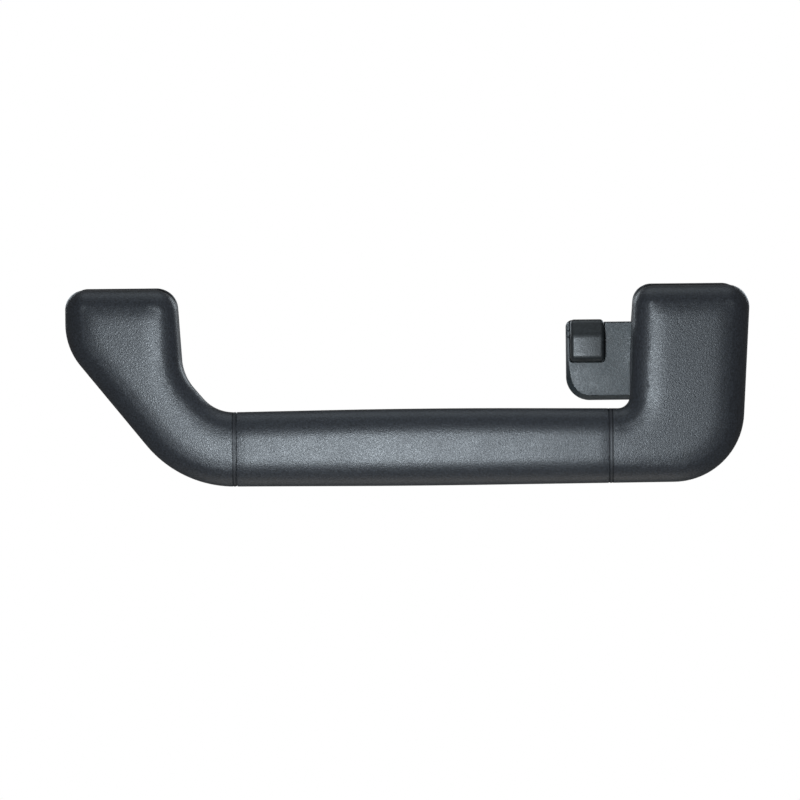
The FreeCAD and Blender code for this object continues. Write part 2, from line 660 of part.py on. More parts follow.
def hook_plate():
    outline = [
        (HOOK_LEFT, EAR_TOP, 2.4),
        (HOOK_LEFT, HOOK_BOTTOM, HOOK_CORNER),
        (HOOK_RIGHT, HOOK_BOTTOM, 0.3),
        (HOOK_RIGHT, HOOK_TOP, 0.3),
        (EAR_STEP, HOOK_TOP, 0.3),
        (EAR_STEP, EAR_TOP, 0.3),
    ]
    body = slab(outline, Y_TRAY, Y_TRAY_BACK)
    rounded = [e for e in edges_at(body, Y_TRAY) if e.BoundBox.ZMax < EAR_TOP - 2.0 and e.BoundBox.XMax < HOOK_RIGHT - 0.1]
    body = body.makeFillet(HOOK_EDGE, rounded)
    body = body.cut(block(*POCKET, Y_TRAY - 5, POCKET_FLOOR, POCKET_END, 30.0))
    body = body.cut(block(*POCKET, Y_TRAY - 5, SWING_FLOOR, SWING_FROM, 30.0))
    body = body.cut(along_x(HOOK_PIN_R, HOOK_LEFT - 1, 72.5, *HOOK_AXIS))
    body = body.fuse(block(HOOK_RIGHT - 0.2, 86.6, TONGUE_Y[0], TONGUE_Y[1], TONGUE_Z[0], TONGUE_Z[1]))
    for x, z in HOOK_SCREWS:
        body = body.cut(along_y(0.9, TONGUE_Y[0] + 0.6, TONGUE_Y[1], x, z))
    return one(body)


def hook_lever():
    """The folding lever: a thick nose with a barrel round its pin, and a relief along its outer side."""
    outline = [
        (-6.9, 10.9, 2.2),
        (-9.9, LEVER_TOP, 1.2),
        (LEVER_FRONT, LEVER_TOP, 4.6),
        (LEVER_FRONT, LEVER_TIP, 2.2),
        (LEVER_BACK, LEVER_TIP, 1.3),
        (LEVER_BACK, 5.0, 1.5),
        (-6.9, 5.9, 1.3),
    ]
    body = yz_prism(outline, *LEVER)
    sides = [e for e in body.Edges if e.BoundBox.XLength < 1e-6 and e.BoundBox.YMax < LEVER_BACK - 0.5]
    body = body.makeFillet(1.2, sides)
    body = body.cut(block(LEVER[0] - 1, LEVER[0] + 0.7, -13.6, -6.0, 0.8, 8.5))
    body = body.cut(along_x(HOOK_PIN_R + 0.05, 50, 80, *HOOK_AXIS))
    x0, x1 = HOOK_SPRING_X[0] - 0.5, HOOK_SPRING_X[1] + 0.5
    y, z = HOOK_AXIS
    body = body.cut(along_x(2.6, x0, x1, y, z))
    body = body.cut(block(x0, x1, y, -6.0, 4.0, z))
    body = body.cut(block(x0, x0 + 1.0, y - 2.6, y, 4.0, z))
    return one(body)


def hook_pin():
    return along_x(HOOK_PIN_R, HOOK_LEFT + 0.2, 72.4, *HOOK_AXIS)


def hook_spring():
    """Small torsion spring round the lever's pin."""
    y, z = HOOK_AXIS
    x0, x1 = HOOK_SPRING_X
    body = coil(HOOK_COIL_R, HOOK_WIRE_R, HOOK_COIL_TURNS, x0, x1, y, z, 180.0)
    moving = (V(x0, y - HOOK_COIL_R, z), V(x0, y - HOOK_COIL_R, z - 4.6))
    fixed = (V(x1, y + HOOK_COIL_R, z), V(x1, y + HOOK_COIL_R, z - 8.0))
    return with_legs(body, [moving, fixed], HOOK_WIRE_R)


def hook_screw(x, z):
    shank = along_y(0.88, TONGUE_Y[0] + 0.8, Y_TRAY_BACK - 1.1, x, z)
    head = along_y(2.0, Y_TRAY_BACK - 1.15, Y_TRAY_BACK - 0.05, x, z)
    slot_a = block(x - 1.3, x + 1.3, Y_TRAY_BACK - 0.6, 0, z - 0.25, z + 0.25)
    slot_b = block(x - 0.25, x + 0.25, Y_TRAY_BACK - 0.6, 0, z - 1.3, z + 1.3)
    return shank.fuse(head).cut(slot_a).cut(slot_b)


# ---- Build every piece ----
def main():
    os.makedirs("parts", exist_ok=True)
    for side in BLOCK_X:
        x = BLOCK_X[side]
        shell, cover = end_parts(side)
        save(f"{side}_end_shell", shell)
        save(f"{side}_elbow_cover", cover)
        save(f"{side}_hinge_bracket", bracket(side))
        save(f"{side}_base_tray", tray(side))
        save(f"{side}_hinge_cover", hinge_cover(side))
        save(f"{side}_screw_cap", screw_cap(x))
        save(f"{side}_hinge_pin", hinge_pin(x))
    front, back = grip_shells()
    save("grip_front_shell", front)
    save("grip_back_shell", back)
    save("left_seam_ring", seam_ring(SEAM_LEFT))
    save("right_seam_ring", seam_ring(SEAM_RIGHT))
    save("grip_core", core())
    save("hinge_bushes", bushes())
    sides = list(BLOCK_X)
    save("pin_clips", Part.makeCompound([pin_clip(BLOCK_X[s]) for s in sides]))
    save("mount_screws", Part.makeCompound([mount_screw(BLOCK_X[s]) for s in sides]))
    save("mount_washers", Part.makeCompound([washer(BLOCK_X[s]) for s in sides]))
    save("rest_bumpers", Part.makeCompound([bumper(s) for s in sides]))
    save("shell_screws", Part.makeCompound([shell_screw(*p) for s in sides for p in shell_screw_places(s)]))
    save("return_spring", return_spring())
    save("spring_spool", spring_spool())
    save("damper_housing", damper_housing())
    save("damper_rotor", damper_rotor())
    save("coat_hook_plate", hook_plate())
    save("coat_hook_lever", hook_lever())
    save("coat_hook_pin", hook_pin())
    save("coat_hook_spring", hook_spring())
    save("coat_hook_screws", Part.makeCompound([hook_screw(*p) for p in HOOK_SCREWS]))


main()
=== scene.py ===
"""Looks for the folding roof grab handle: refined mouldings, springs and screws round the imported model.

Lengths in the mesh code are millimetres in the CAD frame, and build() turns them into metres.
The lights and the camera are placed in metres.
X runs along the bar, Y from the front back to the roof rail, and Z up.
"""

import json
import math

import bmesh
import bpy
import numpy as np
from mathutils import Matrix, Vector
from mathutils.geometry import delaunay_2d_cdt


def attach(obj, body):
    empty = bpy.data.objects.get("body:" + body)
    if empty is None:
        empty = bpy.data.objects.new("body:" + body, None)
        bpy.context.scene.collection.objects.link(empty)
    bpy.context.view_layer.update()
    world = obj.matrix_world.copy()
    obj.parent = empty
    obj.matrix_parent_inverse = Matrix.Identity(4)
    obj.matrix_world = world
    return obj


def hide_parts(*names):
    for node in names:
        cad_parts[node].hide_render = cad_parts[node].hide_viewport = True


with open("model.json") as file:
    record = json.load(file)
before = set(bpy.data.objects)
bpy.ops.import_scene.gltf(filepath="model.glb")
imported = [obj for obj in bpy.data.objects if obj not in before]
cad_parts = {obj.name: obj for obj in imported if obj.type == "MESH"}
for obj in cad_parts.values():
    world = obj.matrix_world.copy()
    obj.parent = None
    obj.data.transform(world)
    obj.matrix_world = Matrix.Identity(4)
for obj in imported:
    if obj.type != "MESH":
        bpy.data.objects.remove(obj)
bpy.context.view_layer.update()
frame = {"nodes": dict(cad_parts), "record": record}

MM = 0.001
FAR = 300.0               # past everything in the part
SHARP_ANGLE = 32.0        # edges sharper than this are shaded crisp

# ---- The handle's driving dimensions, the same as the model's ----
Z_TOP = 25.5
Y_FRONT = -32.6
Y_RIM = -11.6             # the pads' open rims
Y_BAR_BACK = -13.6
Y_PART = -22.1            # the front and back mouldings part here
WALL = 2.2
HINGE_Y = -19.8
HINGE_Z = 17.0
HINGE_DROP = 8.5          # the axis is this far below the top edge, which is also the back corner's radius
BLOCK_X = {"left": -100.0, "right": 100.0}
SEAM_X = {"left": -60.5, "right": 72.0}
RING_WIDTH = 0.9
RING_GAP = 0.3            # between a seam ring and the end moulding
GRIP_GAP = 0.35           # between a seam ring and the grip
PART_GAP = 0.12
Z_PAD_END = -11.5         # the pads' open backs end here and the elbow covers start
Y_TRAY = -11.0            # the trays' front, level with the coat hook's plate
Y_TRAY_BACK = -5.0
Y_FLANGE = -10.0          # the brackets' flanges, where the screws' washers sit

# The handle seen from the front: each corner's x, its distance below the pads' top edge, and its radius.
OUTLINE = [
    (-119.7, 0.0, 6.8),
    (-119.7, 20.2, 23.0),
    (-79.6, 69.5, 40.0),
    (5.0, 70.0, 4000.0),
    (117.7, 69.35, 25.0),
    (121.7, 0.2, 7.8),
    (81.0, 0.2, 7.0),
    (78.9, 43.4, 4.2),
    (6.0, 42.6, 3000.0),
    (-67.2, 43.5, 14.0),
    (-79.1, 30.0, 18.0),
    (-81.0, 0.0, 8.2),
]

# ---- How the handle's faces are rounded ----
ROLL_REACH = 9.5          # how far in from the edge the front's rounding reaches
ROLL_DEPTH = 5.6          # how deep it is at the edge
ROLL_POWER = 2.0          # 2 for an ellipse, more for a squarer shoulder
CROWN_REACH = 12.7        # the faces' slight crown ends this far in
CROWN = 1.0
RIM_ROLL = 0.45           # small radius on the pads' open rims
BAR_ROLL = 6.0            # radius round the back of the bar
EASE_TOP = 2.0            # between these heights the pads' open backs turn into the elbows' round backs
EASE_BOTTOM = -15.0
HOLLOW_ROLL = 3.4         # radius along the hollows' front edges
HOLLOW_OPENING = 5.0      # how far the pads' hollows run out past their rims
LIP = 0.25                # rounding on the grip's end edges
RING_LIP = 0.2            # and on the seam rings' edges
RING_WALL = 4.4           # the seam rings' depth inwards, to the core
RING_BORE_R = 2.5         # radius in the corners of the seam rings' bores
RING_BORE_HALF = 2.0      # half the length of the tool that cuts a bore
FLANGE = 0.26             # the seam rings' flanges, under the gaps beside them
FLANGE_DEPTH = 0.5

# ---- How finely the handle is drawn ----
CAP_INSET = 5.5           # the front face's mesh starts this far in
CAP_SPACING = 1.1
CAP_ROWS = 0.87           # the rows of its points are closer than the points in a row
CAP_CLEAR = 0.55          # its points keep this share of the spacing from the edge
CAP_PASSES = 6            # smoothing passes over its depths
RIM_STEPS = 8
ROLL_STEPS = 12
HOLLOW_STEPS = 5
BAR_ROLL_STEPS = 16
BAR_CROWN_STEPS = 4
BAR_BACK_STEPS = 12
STATION_STEP = 4.0        # between sections along the bar

# ---- The openings in the pads' backs, round the hinges ----
CORNER_HALF = 25.0        # half the width of the tool that rounds a pad's back corner
WINDOW_HALF = 13.2        # half the width of the window for the bracket's ears
WINDOW_FRONT = 2.0        # its front edge, ahead of the hinge's axis
WINDOW_RISE = 4.0         # and its lower edge, above the axis
OVERCUT = 1.0             # how far a cutting tool runs past what it cuts

# ---- Coat hook ----
HOOK_LEFT, HOOK_RIGHT = 57.3, 80.4
HOOK_TOP, HOOK_BOTTOM = 13.0, -14.9
HOOK_CORNER = 8.4
HOOK_CORNER_SMALL = 2.4
HOOK_HIDDEN = 6.0         # the plate is drawn this far past its right edge, then cut off there
EAR_TOP = 13.75           # the plate stands higher at the outer ear
EAR_STEP = 62.0           # which ends here
EAR_STEP_R = 0.6
BEVEL_WIDE = 1.8          # the plate's bevel along its lower edge
BEVEL_NARROW = 0.45       # and up its side, from the first of these heights to the second
BEVEL_FROM = -10.0
BEVEL_TO = 2.0
BEVEL_DEPTH = 1.75
BEVEL_ROUND = 0.14        # the share of the bevel's width that is rounded along each of its edges
BEVEL_OUTER_STEPS = 3
BEVEL_OUTER_DROP = 0.12   # depth of each step of its outer rounding
BEVEL_INNER_STEPS = 4
BEVEL_INNER_DROP = 0.22   # depth of the whole inner rounding
POCKET = (58.4, 71.0)
POCKET_FLOOR = -6.5
POCKET_END = -1.5
POCKET_CORNER = 1.2
POCKET_TOP = 30.0         # above the plate, so the pocket is open at the top
POCKET_FRONT = Y_TRAY - 5
POCKET_TOP_R = 0.5
POCKET_LEAD = 0.1         # a small bevel round its mouth
POCKET_LIFT = 0.01        # which ends just in front of the plate's face
SWING_FLOOR = -5.9        # the deeper cut behind the lever, with room for it to swing
SWING_FROM = 4.5
NOTCH_Y = (-12.0, -10.2)  # a small notch in the outer ear's front, where its pin shows
NOTCH_Z = (7.2, 10.1)
NOTCH_R = 0.8
NOTCH_PAST = 0.2          # it opens this far into the pocket
EAR_SKIN = 0.35           # what is left of the ear outside the notch
TONGUE_X = (HOOK_RIGHT - 0.2, 86.6)
TONGUE_Y = (-9.6, -7.1)
TONGUE_Z = (-9.0, 7.0)
HOOK_SCREWS = [(84.2, -5.5), (84.2, 3.5)]
HOOK_SCREW_R = 0.9
HOOK_SCREW_SKIN = 0.6     # what is left of the tongue in front of a screw's hole

LEVER = (58.6, 70.7)
LEVER_TOP = 13.85
LEVER_TIP = -1.3
LEVER_FRONT = -15.6
LEVER_BACK = -9.5
LEVER_HEEL = -6.9         # the back of the lever's barrel
LEVER_ROLL = 1.5          # rounding of the lever's sides
LEVER_ROLL_IN = 1.05      # which reaches in this much further than it does sideways
LEVER_ROLL_STEPS = 7
RELIEF_DEPTH = 0.7        # the lever's side gives way here, beside the outer ear
RELIEF_Y = (-13.6, -6.0)
RELIEF_Z = (0.8, 8.5)
HOOK_AXIS = (-9.0, 9.5)
HOOK_PIN_R = 1.0
HOOK_PIN_PLAY = 0.05
HOOK_PIN_END = 72.5       # its bore in the plate ends here
LEVER_BORE = (50.0, 80.0)           # right through the lever
SPRING_ROOM_R = 2.6       # the hollow in the lever round its spring
SPRING_ROOM_SIDE = 0.5
SPRING_ROOM_BACK = -6.0
SPRING_ROOM_LOW = 4.0
SPRING_ROOM_LEG = 1.0     # width of the hollow for the spring's moving leg

# ---- Springs ----
COIL_R = 4.15
WIRE_R = 0.55
COIL_TURNS = 9.25
SPRING_X = (-107.8, -92.2)
SPRING_LEG_Z = 6.0
SPRING_HOOK_Y = -29.0     # how far forward the moving leg hooks into the core
LEG_INSET = 0.35          # the moving leg is set in a little, to clear the cover's half barrel
LEG_OVERLAP = 0.3         # it starts a little above the axis, inside the coil's wire
LEG_BEND = 1.2
FIXED_LEG_RUN = 2.0       # the fixed leg leaves the coil straight back
FIXED_LEG_BEND = 0.6
HOOK_COIL_R = 1.85
HOOK_WIRE_R = 0.28
HOOK_COIL_TURNS = 5.5
HOOK_SPRING_X = (63.3, 66.7)
# The small spring's legs: how far below the coil each starts, the spacing of its points, and their count.
HOOK_FIXED_LEG = (0.5, 2.5, 4)
HOOK_MOVING_LEG = (-0.2, 1.2, 5)
COIL_STEPS = 28           # for each turn
BEND_STEPS = 6
WIRE_SIDES = 12
TIP_REACH = 0.5           # a wire's rounded ends, in shares of its radius
TIP_SIZE = 0.6
ASKEW = (0.31, 0.52, 0.79)          # a direction that no wire starts in

# ---- Mounting screws ----
WASHER = 1.2
SCREW_HEAD = 3.6
SCREW_HEAD_R = 6.5
HEAD_ROLL = 1.6
HEAD_ROLL_STEPS = 6
HEAD_CHAMFER = 0.3
SHOULDER_R = 3.3
SHOULDER_END = -0.1
SCREW_R = 3.0
SCREW_REACH = 11.0
SCREW_TIP = 0.7           # length of the tip's chamfer
SCREW_TIP_FROM = 0.1      # how far inside the screw's radius the chamfer starts
SCREW_TIP_TO = 0.8        # and ends
SCREW_SIDES = 48
RECESS_DEPTH = 2.4        # the six-lobed driver recess
RECESS_R = 2.65
RECESS_LOBE = 0.45
THREAD_PITCH = 1.0
THREAD_DEPTH = 0.5
THREAD_STEP = 0.1         # between the stations it is drawn at
THREAD_STOP = 0.9         # the last of them is about this far from the tip
THREAD_START = 0.6        # the thread grows to its full depth from here, over one pitch
THREAD_END = 0.5          # and ends this far from the tip
THREAD_RUNOUT = 0.8
THREAD_FLAT = 1.35        # more than 1 leaves the crests flat
THREAD_SKIN = 0.02        # how far the crests stay inside the screw's full radius


# ---- Meshes ----
def build(name, verts, faces):
    """A new object from points in millimetres."""
    mesh = bpy.data.meshes.new(name)
    mesh.from_pydata([tuple(float(c) * MM for c in v) for v in verts], [], [tuple(f) for f in faces])
    mesh.validate()
    piece = bpy.data.objects.new(name, mesh)
    bpy.context.scene.collection.objects.link(piece)
    return piece


def outward(piece):
    """Turns every face of a closed piece outwards."""
    bm = bmesh.new()
    bm.from_mesh(piece.data)
    bmesh.ops.recalc_face_normals(bm, faces=bm.faces)
    bm.to_mesh(piece.data)
    bm.free()
    return piece


def copied(piece, name):
    twin = bpy.data.objects.new(name, piece.data.copy())
    bpy.context.scene.collection.objects.link(twin)
    return twin


def combine(piece, tool, operation):
    """Cuts, joins or keeps part of a piece with a tool, which is used up."""
    modifier = piece.modifiers.new("combine", "BOOLEAN")
    modifier.object = tool
    modifier.operation = operation
    modifier.solver = "EXACT"
    graph = bpy.context.evaluated_depsgraph_get()
    result = bpy.data.meshes.new_from_object(piece.evaluated_get(graph))
    piece.modifiers.clear()
    piece.data = result
    bpy.data.objects.remove(tool)
    return piece


def cut(piece, *tools):
    for tool in tools:
        combine(piece, tool, "DIFFERENCE")
    return piece


def keep(piece, tool):
    return combine(piece, tool, "INTERSECT")


def strips(rings):
    """Faces between rings of equal length, whose points are numbered ring by ring."""
    n = len(rings[0])
    faces = []
    for k in range(len(rings) - 1):
        for i in range(n):
            j = (i + 1) % n
            faces.append((k * n + i, k * n + j, (k + 1) * n + j, (k + 1) * n + i))
    return faces


def lofted(name, rings):
    """A closed piece through rings of equal length, with flat ends."""
    n = len(rings[0])
    verts = [p for ring in rings for p in ring]
    ends = [tuple(range(n))[::-1], tuple(range((len(rings) - 1) * n, len(rings) * n))]
    return outward(build(name, verts, strips(rings) + ends))


def block(x0=-FAR, x1=FAR, y0=-FAR, y1=FAR, z0=-FAR, z1=FAR):
    """A cutting block."""
    corners = [(x, y, z) for x in (x0, x1) for y in (y0, y1) for z in (z0, z1)]
    sides = [(0, 1, 3, 2), (4, 6, 7, 5), (0, 4, 5, 1), (2, 3, 7, 6), (0, 2, 6, 4), (1, 5, 7, 3)]
    return outward(build("tool", corners, sides))


def circle(radius, count):
    turns = [2 * math.pi * i / count for i in range(count)]
    return [(radius * math.cos(a), radius * math.sin(a)) for a in turns]


def drum(radius, x0, x1, y, z, count=64):
    """A cutting drum along X."""
    return lofted("tool", [[(x, y + u, z + v) for u, v in circle(radius, count)] for x in (x0, x1)])


def post(radius, y0, y1, x, z, count=32):
    """A cutting drum along Y."""
    return lofted("tool", [[(x + u, y, z + v) for u, v in circle(radius, count)] for y in (y0, y1)])


def finish_piece(piece, name, slot, material, body, *nodes):
    """Names, shades and paints a piece, ties it to its body, and hides the nodes it stands for."""
    piece.name = name
    piece.data.shade_smooth()
    piece.data.set_sharp_from_angle(angle=math.radians(SHARP_ANGLE))
    piece.data.materials.clear()
    piece.data.materials.append(material)
    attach(piece, body)
    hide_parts(*nodes)


# ---- Outlines ----
def sampled(corners, step=1.6, turn=4.0):
    """Points and inward normals along an outline, which is given as corners with radii.

    The points are at most step apart, and at most turn degrees of an arc apart.
    """
    points, normals = [], []
    n = len(corners)
    pts = [np.array(c[:2], float) for c in corners]
    area = sum(pts[i][0] * pts[(i + 1) % n][1] - pts[(i + 1) % n][0] * pts[i][1] for i in range(n))
    side = 1.0 if area > 0 else -1.0
    arcs = []
    for i in range(n):
        p, r = pts[i], corners[i][2]
        to_a = (pts[i - 1] - p) / np.linalg.norm(pts[i - 1] - p)
        to_b = (pts[(i + 1) % n] - p) / np.linalg.norm(pts[(i + 1) % n] - p)
        half = math.acos(np.clip(to_a @ to_b, -1, 1)) / 2
        reach = r / math.tan(half)
        centre = p + (to_a + to_b) / np.linalg.norm(to_a + to_b) * r / math.sin(half)
        convex = side * (-to_a[0] * to_b[1] + to_a[1] * to_b[0]) > 0
        arcs.append((p + to_a * reach, p + to_b * reach, centre, r, convex))
    for i in range(n):
        start, end, centre, r, convex = arcs[i]
        a0 = math.atan2(*(start - centre)[::-1])
        sweep = math.atan2(*(end - centre)[::-1]) - a0
        sweep = (sweep + math.pi) % (2 * math.pi) - math.pi
        count = max(2, math.ceil(abs(math.degrees(sweep)) / turn), math.ceil(abs(sweep) * r / step))
        for k in range(count + 1):
            a = a0 + sweep * k / count
            out = np.array((math.cos(a), math.sin(a)))
            points.append(centre + out * r)
            normals.append(-out if convex else out)
        following = arcs[(i + 1) % n][0]
        gap = following - end
        length = np.linalg.norm(gap)
        count = math.ceil(length / step)
        across = side * np.array((-gap[1], gap[0])) / length
        for k in range(1, count):
            points.append(end + gap * k / count)
            normals.append(across)
    return np.array(points), np.array(normals)


HANDLE, HANDLE_IN = sampled([(x, Z_TOP - drop, r) for x, drop, r in OUTLINE])


def rolled(points, normals, profile, place):
    """A closed piece through an outline moved inwards by each step of a profile.

    A step is an inset and a depth. The inset is a number, or a function of the outline's point.
    place turns the moved point and the depth into a point in space.
    """
    rings = []
    for inset, depth in profile:
        ring = []
        for p, inwards in zip(points, normals):
            ring.append(place(*(p + inwards * (inset(p) if callable(inset) else inset)), depth))
        rings.append(ring)
    return lofted("rolled", rings)


def box_corners(front, back, low, high, radius):
    """A rounded box seen from the side."""
    return [(y, z, radius) for y, z in ((front, high), (front, low), (back, low), (back, high))]


def from_front(x, z, y):
    """Places an outline seen from the front."""
    return x, y, z


def from_side(y, z, x):
    """Places an outline seen from the side."""
    return x, y, z


# ---- The handle's form ----
def distance_in(points):
    """Each point's distance to the handle's outline."""
    gaps = np.linalg.norm(points[:, None, :] - HANDLE[None, :, :], axis=2)
    return gaps.min(axis=1)


def front_y(distance):
    """Depth of the front face at a distance in from the outline."""
    u = np.clip(1 - np.asarray(distance, float) / ROLL_REACH, 0, 1)
    crown = CROWN * np.clip(1 - np.asarray(distance, float) / CROWN_REACH, 0, 1) ** 2
    return Y_FRONT + ROLL_DEPTH * (1 - (1 - u ** ROLL_POWER) ** (1 / ROLL_POWER)) + crown


def roll_inset(a):
    """How far in the front's rounding is at an angle along it, from 0 to a right angle."""
    return ROLL_REACH * (1 - math.cos(a) ** (2 / ROLL_POWER))


def eased(z):
    """0 on the pads, 1 on the bar, and a smooth ramp on the elbows."""
    t = np.clip((EASE_TOP - z) / (EASE_TOP - EASE_BOTTOM), 0, 1)
    return t * t * (3 - 2 * t)


def back_y(z):
    return Y_RIM + (Y_BAR_BACK - Y_RIM) * eased(z)


def back_roll(z):
    return RIM_ROLL + (BAR_ROLL - RIM_ROLL) * eased(z)


def cap(edge):
    """Points and triangles that fill an outline, and the edge point that each point comes from, or -1."""
    low, high = edge.min(axis=0), edge.max(axis=0)
    grid = []
    for row, z in enumerate(np.arange(low[1], high[1], CAP_SPACING * CAP_ROWS)):
        shift = CAP_SPACING / 2 if row % 2 else 0.0
        grid += [(x + shift, z) for x in np.arange(low[0], high[0], CAP_SPACING)]
    grid = np.array(grid)
    gaps = np.linalg.norm(grid[:, None, :] - edge[None, :, :], axis=2).min(axis=1)
    grid = grid[gaps > CAP_SPACING * CAP_CLEAR]
    n = len(edge)
    flat = [Vector(p) for p in np.vstack((edge, grid))]
    loops = [(i, (i + 1) % n) for i in range(n)]
    out, _, faces, origin, _, _ = delaunay_2d_cdt(flat, loops, [], 1, 1e-5)
    return np.array([tuple(p) for p in out]), faces, [o[0] if o else -1 for o in origin]


def cap_mesh(edge3, depth, passes):
    """Fills a ring of points. Returns the extra points inside, and the triangles, numbered ring first."""
    edge = edge3[:, [0, 2]]
    points, faces, origin = cap(edge)
    n = len(edge)
    number, extra = {}, []
    for i, o in enumerate(origin):
        if 0 <= o < n:
            number[i] = o
    used = sorted({v for f in faces for v in f})
    for i in used:
        if i not in number:
            number[i] = n + len(extra)
            extra.append(points[i])
    extra = np.array(extra)
    y = np.concatenate((edge3[:, 1], depth(extra)))
    tris = [tuple(number[v] for v in f) for f in faces]
    around = [set() for _ in y]
    for f in tris:
        for a, b in zip(f, f[1:] + f[:1]):
            around[a].add(b)
            around[b].add(a)
    around = [np.array(sorted(s), int) for s in around]
    for _ in range(passes):
        new = y.copy()
        for i in range(n, len(y)):
            new[i] = y[around[i]].mean()
        y = new
    return [(p[0], yy, p[1]) for p, yy in zip(extra, y[n:])], tris


def ring_at(inset, depth):
    """The handle's outline moved inwards, at one depth or at a depth for each point."""
    if np.ndim(inset):
        inset = inset[:, None]
    points = HANDLE + HANDLE_IN * inset
    return np.column_stack((points[:, 0], np.broadcast_to(depth, len(points)), points[:, 1]))


def capped(name, rings, ends):
    """A closed piece through rings of the handle's outline.

    ends says how the first and the last ring are filled: a function that gives each point's depth, and a
    count of smoothing passes.
    """
    n = len(HANDLE)
    verts = [tuple(p) for ring in rings for p in ring]
    faces = strips(rings)
    last = (len(rings) - 1) * n
    for base, ring, (depth_at, passes) in zip((0, last), (rings[0], rings[-1]), ends):
        extra, tris = cap_mesh(ring, depth_at, passes)
        start = len(verts)
        verts += extra
        faces += [tuple(base + v if v < n else start + v - n for v in f) for f in tris]
    return outward(build(name, verts, faces))


def handle_form():
    """The whole handle's outer form as one closed piece, from which the mouldings are cut."""
    rings = []
    z = HANDLE[:, 1]
    depth, roll = back_y(z), back_roll(z)
    for k in range(RIM_STEPS + 1):
        a = math.radians(90 - 90 * k / RIM_STEPS)
        rings.append(ring_at(roll * (1 - math.cos(a)), depth - roll * (1 - math.sin(a))))
    last = math.acos((1 - CAP_INSET / ROLL_REACH) ** (ROLL_POWER / 2))
    for k in range(ROLL_STEPS + 1):
        inset = roll_inset(last * k / ROLL_STEPS)
        rings.append(ring_at(inset, float(front_y(inset))))
    back = (lambda p: back_y(p[:, 1]), 0)
    front = (lambda p: front_y(distance_in(p)), CAP_PASSES)
    return capped("handle_form", rings, (back, front))


def hollow(back):
    """A cutting slab of the handle's outline moved inwards by the wall, from the front wall to a depth."""
    front = Y_FRONT + WALL
    rings = [ring_at(WALL, back)]
    for k in range(HOLLOW_STEPS + 1):
        a = math.radians(90 * k / HOLLOW_STEPS)
        inset = WALL + HOLLOW_ROLL * (1 - math.cos(a))
        rings.append(ring_at(inset, front + HOLLOW_ROLL * (1 - math.sin(a))))
    ends = [(lambda p, y=y: np.full(len(p), y), 0) for y in (back, front)]
    return capped("tool", rings, ends)


# ---- End mouldings ----
def past_seam(side):
    """Everything on the pad's side of a seam ring."""
    gap = RING_WIDTH / 2 + RING_GAP
    if side == "left":
        return block(x1=SEAM_X[side] - gap)
    return block(x0=SEAM_X[side] + gap)


def end_mouldings(form, side):
    x = BLOCK_X[side]
    blank = keep(copied(form, "blank"), past_seam(side))
    pad_hollow = keep(hollow(Y_RIM + HOLLOW_OPENING), block(z0=Z_PAD_END + WALL))
    elbow_hollow = keep(hollow(Y_BAR_BACK - WALL), block(z1=Z_PAD_END))
    cut(blank, pad_hollow, elbow_hollow)
    cover = keep(copied(blank, "cover"), block(y0=Y_PART + PART_GAP, z1=Z_PAD_END - PART_GAP))
    open_back, open_top = Y_RIM + OVERCUT, Z_TOP + OVERCUT
    corner = block(x - CORNER_HALF, x + CORNER_HALF, HINGE_Y, open_back, HINGE_Z, open_top)
    past = CORNER_HALF + OVERCUT
    cut(corner, drum(HINGE_DROP, x - past, x + past, HINGE_Y, HINGE_Z))
    window = block(x - WINDOW_HALF, x + WINDOW_HALF, HINGE_Y - WINDOW_FRONT, open_back,
                   HINGE_Z + WINDOW_RISE, open_top)
    shell = cut(blank, block(y0=Y_PART, z1=Z_PAD_END), corner, window)
    finish_piece(shell, side + "_end_moulding", "handle_plastic", HANDLE_PLASTIC, "grip",
                 side + "_end_shell")
    finish_piece(cover, side + "_elbow_moulding", "handle_plastic", HANDLE_PLASTIC, "grip",
                 side + "_elbow_cover")


# ---- Grip between the seams ----
def bar_heights(x):
    """The bar's upper and lower edges at x."""
    crossings = []
    for (x0, z0), (x1, z1) in zip(HANDLE, np.roll(HANDLE, -1, axis=0)):
        if x0 != x1 and (x0 - x) * (x1 - x) <= 0:
            crossings.append(z0 + (z1 - z0) * (x - x0) / (x1 - x0))
    return max(crossings), min(crossings)


def bar_section(x, inset):
    """Points round the bar at x, as Y and Z, moved inwards. They start at the middle of the front face."""
    top, bottom = bar_heights(x)
    front, back = [], []
    for k in range(BAR_ROLL_STEPS + 1):
        reach = roll_inset(math.pi / 2 * k / BAR_ROLL_STEPS)
        front.append((reach, float(front_y(reach))))
    for k in range(1, BAR_CROWN_STEPS):
        reach = ROLL_REACH + (CROWN_REACH - ROLL_REACH) * k / BAR_CROWN_STEPS
        front.append((reach, float(front_y(reach))))
    for k in range(BAR_BACK_STEPS + 1):
        a = math.radians(90 * k / BAR_BACK_STEPS)
        back.append((BAR_ROLL * (1 - math.cos(a)), Y_BAR_BACK - BAR_ROLL * (1 - math.sin(a))))
    half = front[::-1] + back
    upper = [(y, top - reach) for reach, y in half]
    lower = [(y, bottom + reach) for reach, y in half[::-1]]
    ring = np.array(upper + lower)
    along = np.roll(ring, -1, axis=0) - np.roll(ring, 1, axis=0)
    along /= np.linalg.norm(along, axis=1)[:, None]
    return ring + np.column_stack((-along[:, 1], along[:, 0])) * inset * winding(ring)


def winding(ring):
    """1 for a ring that runs anticlockwise, -1 for the other way."""
    u, v = ring[:, 0], ring[:, 1]
    return math.copysign(1.0, float((u * np.roll(v, -1) - np.roll(u, -1) * v).sum()))


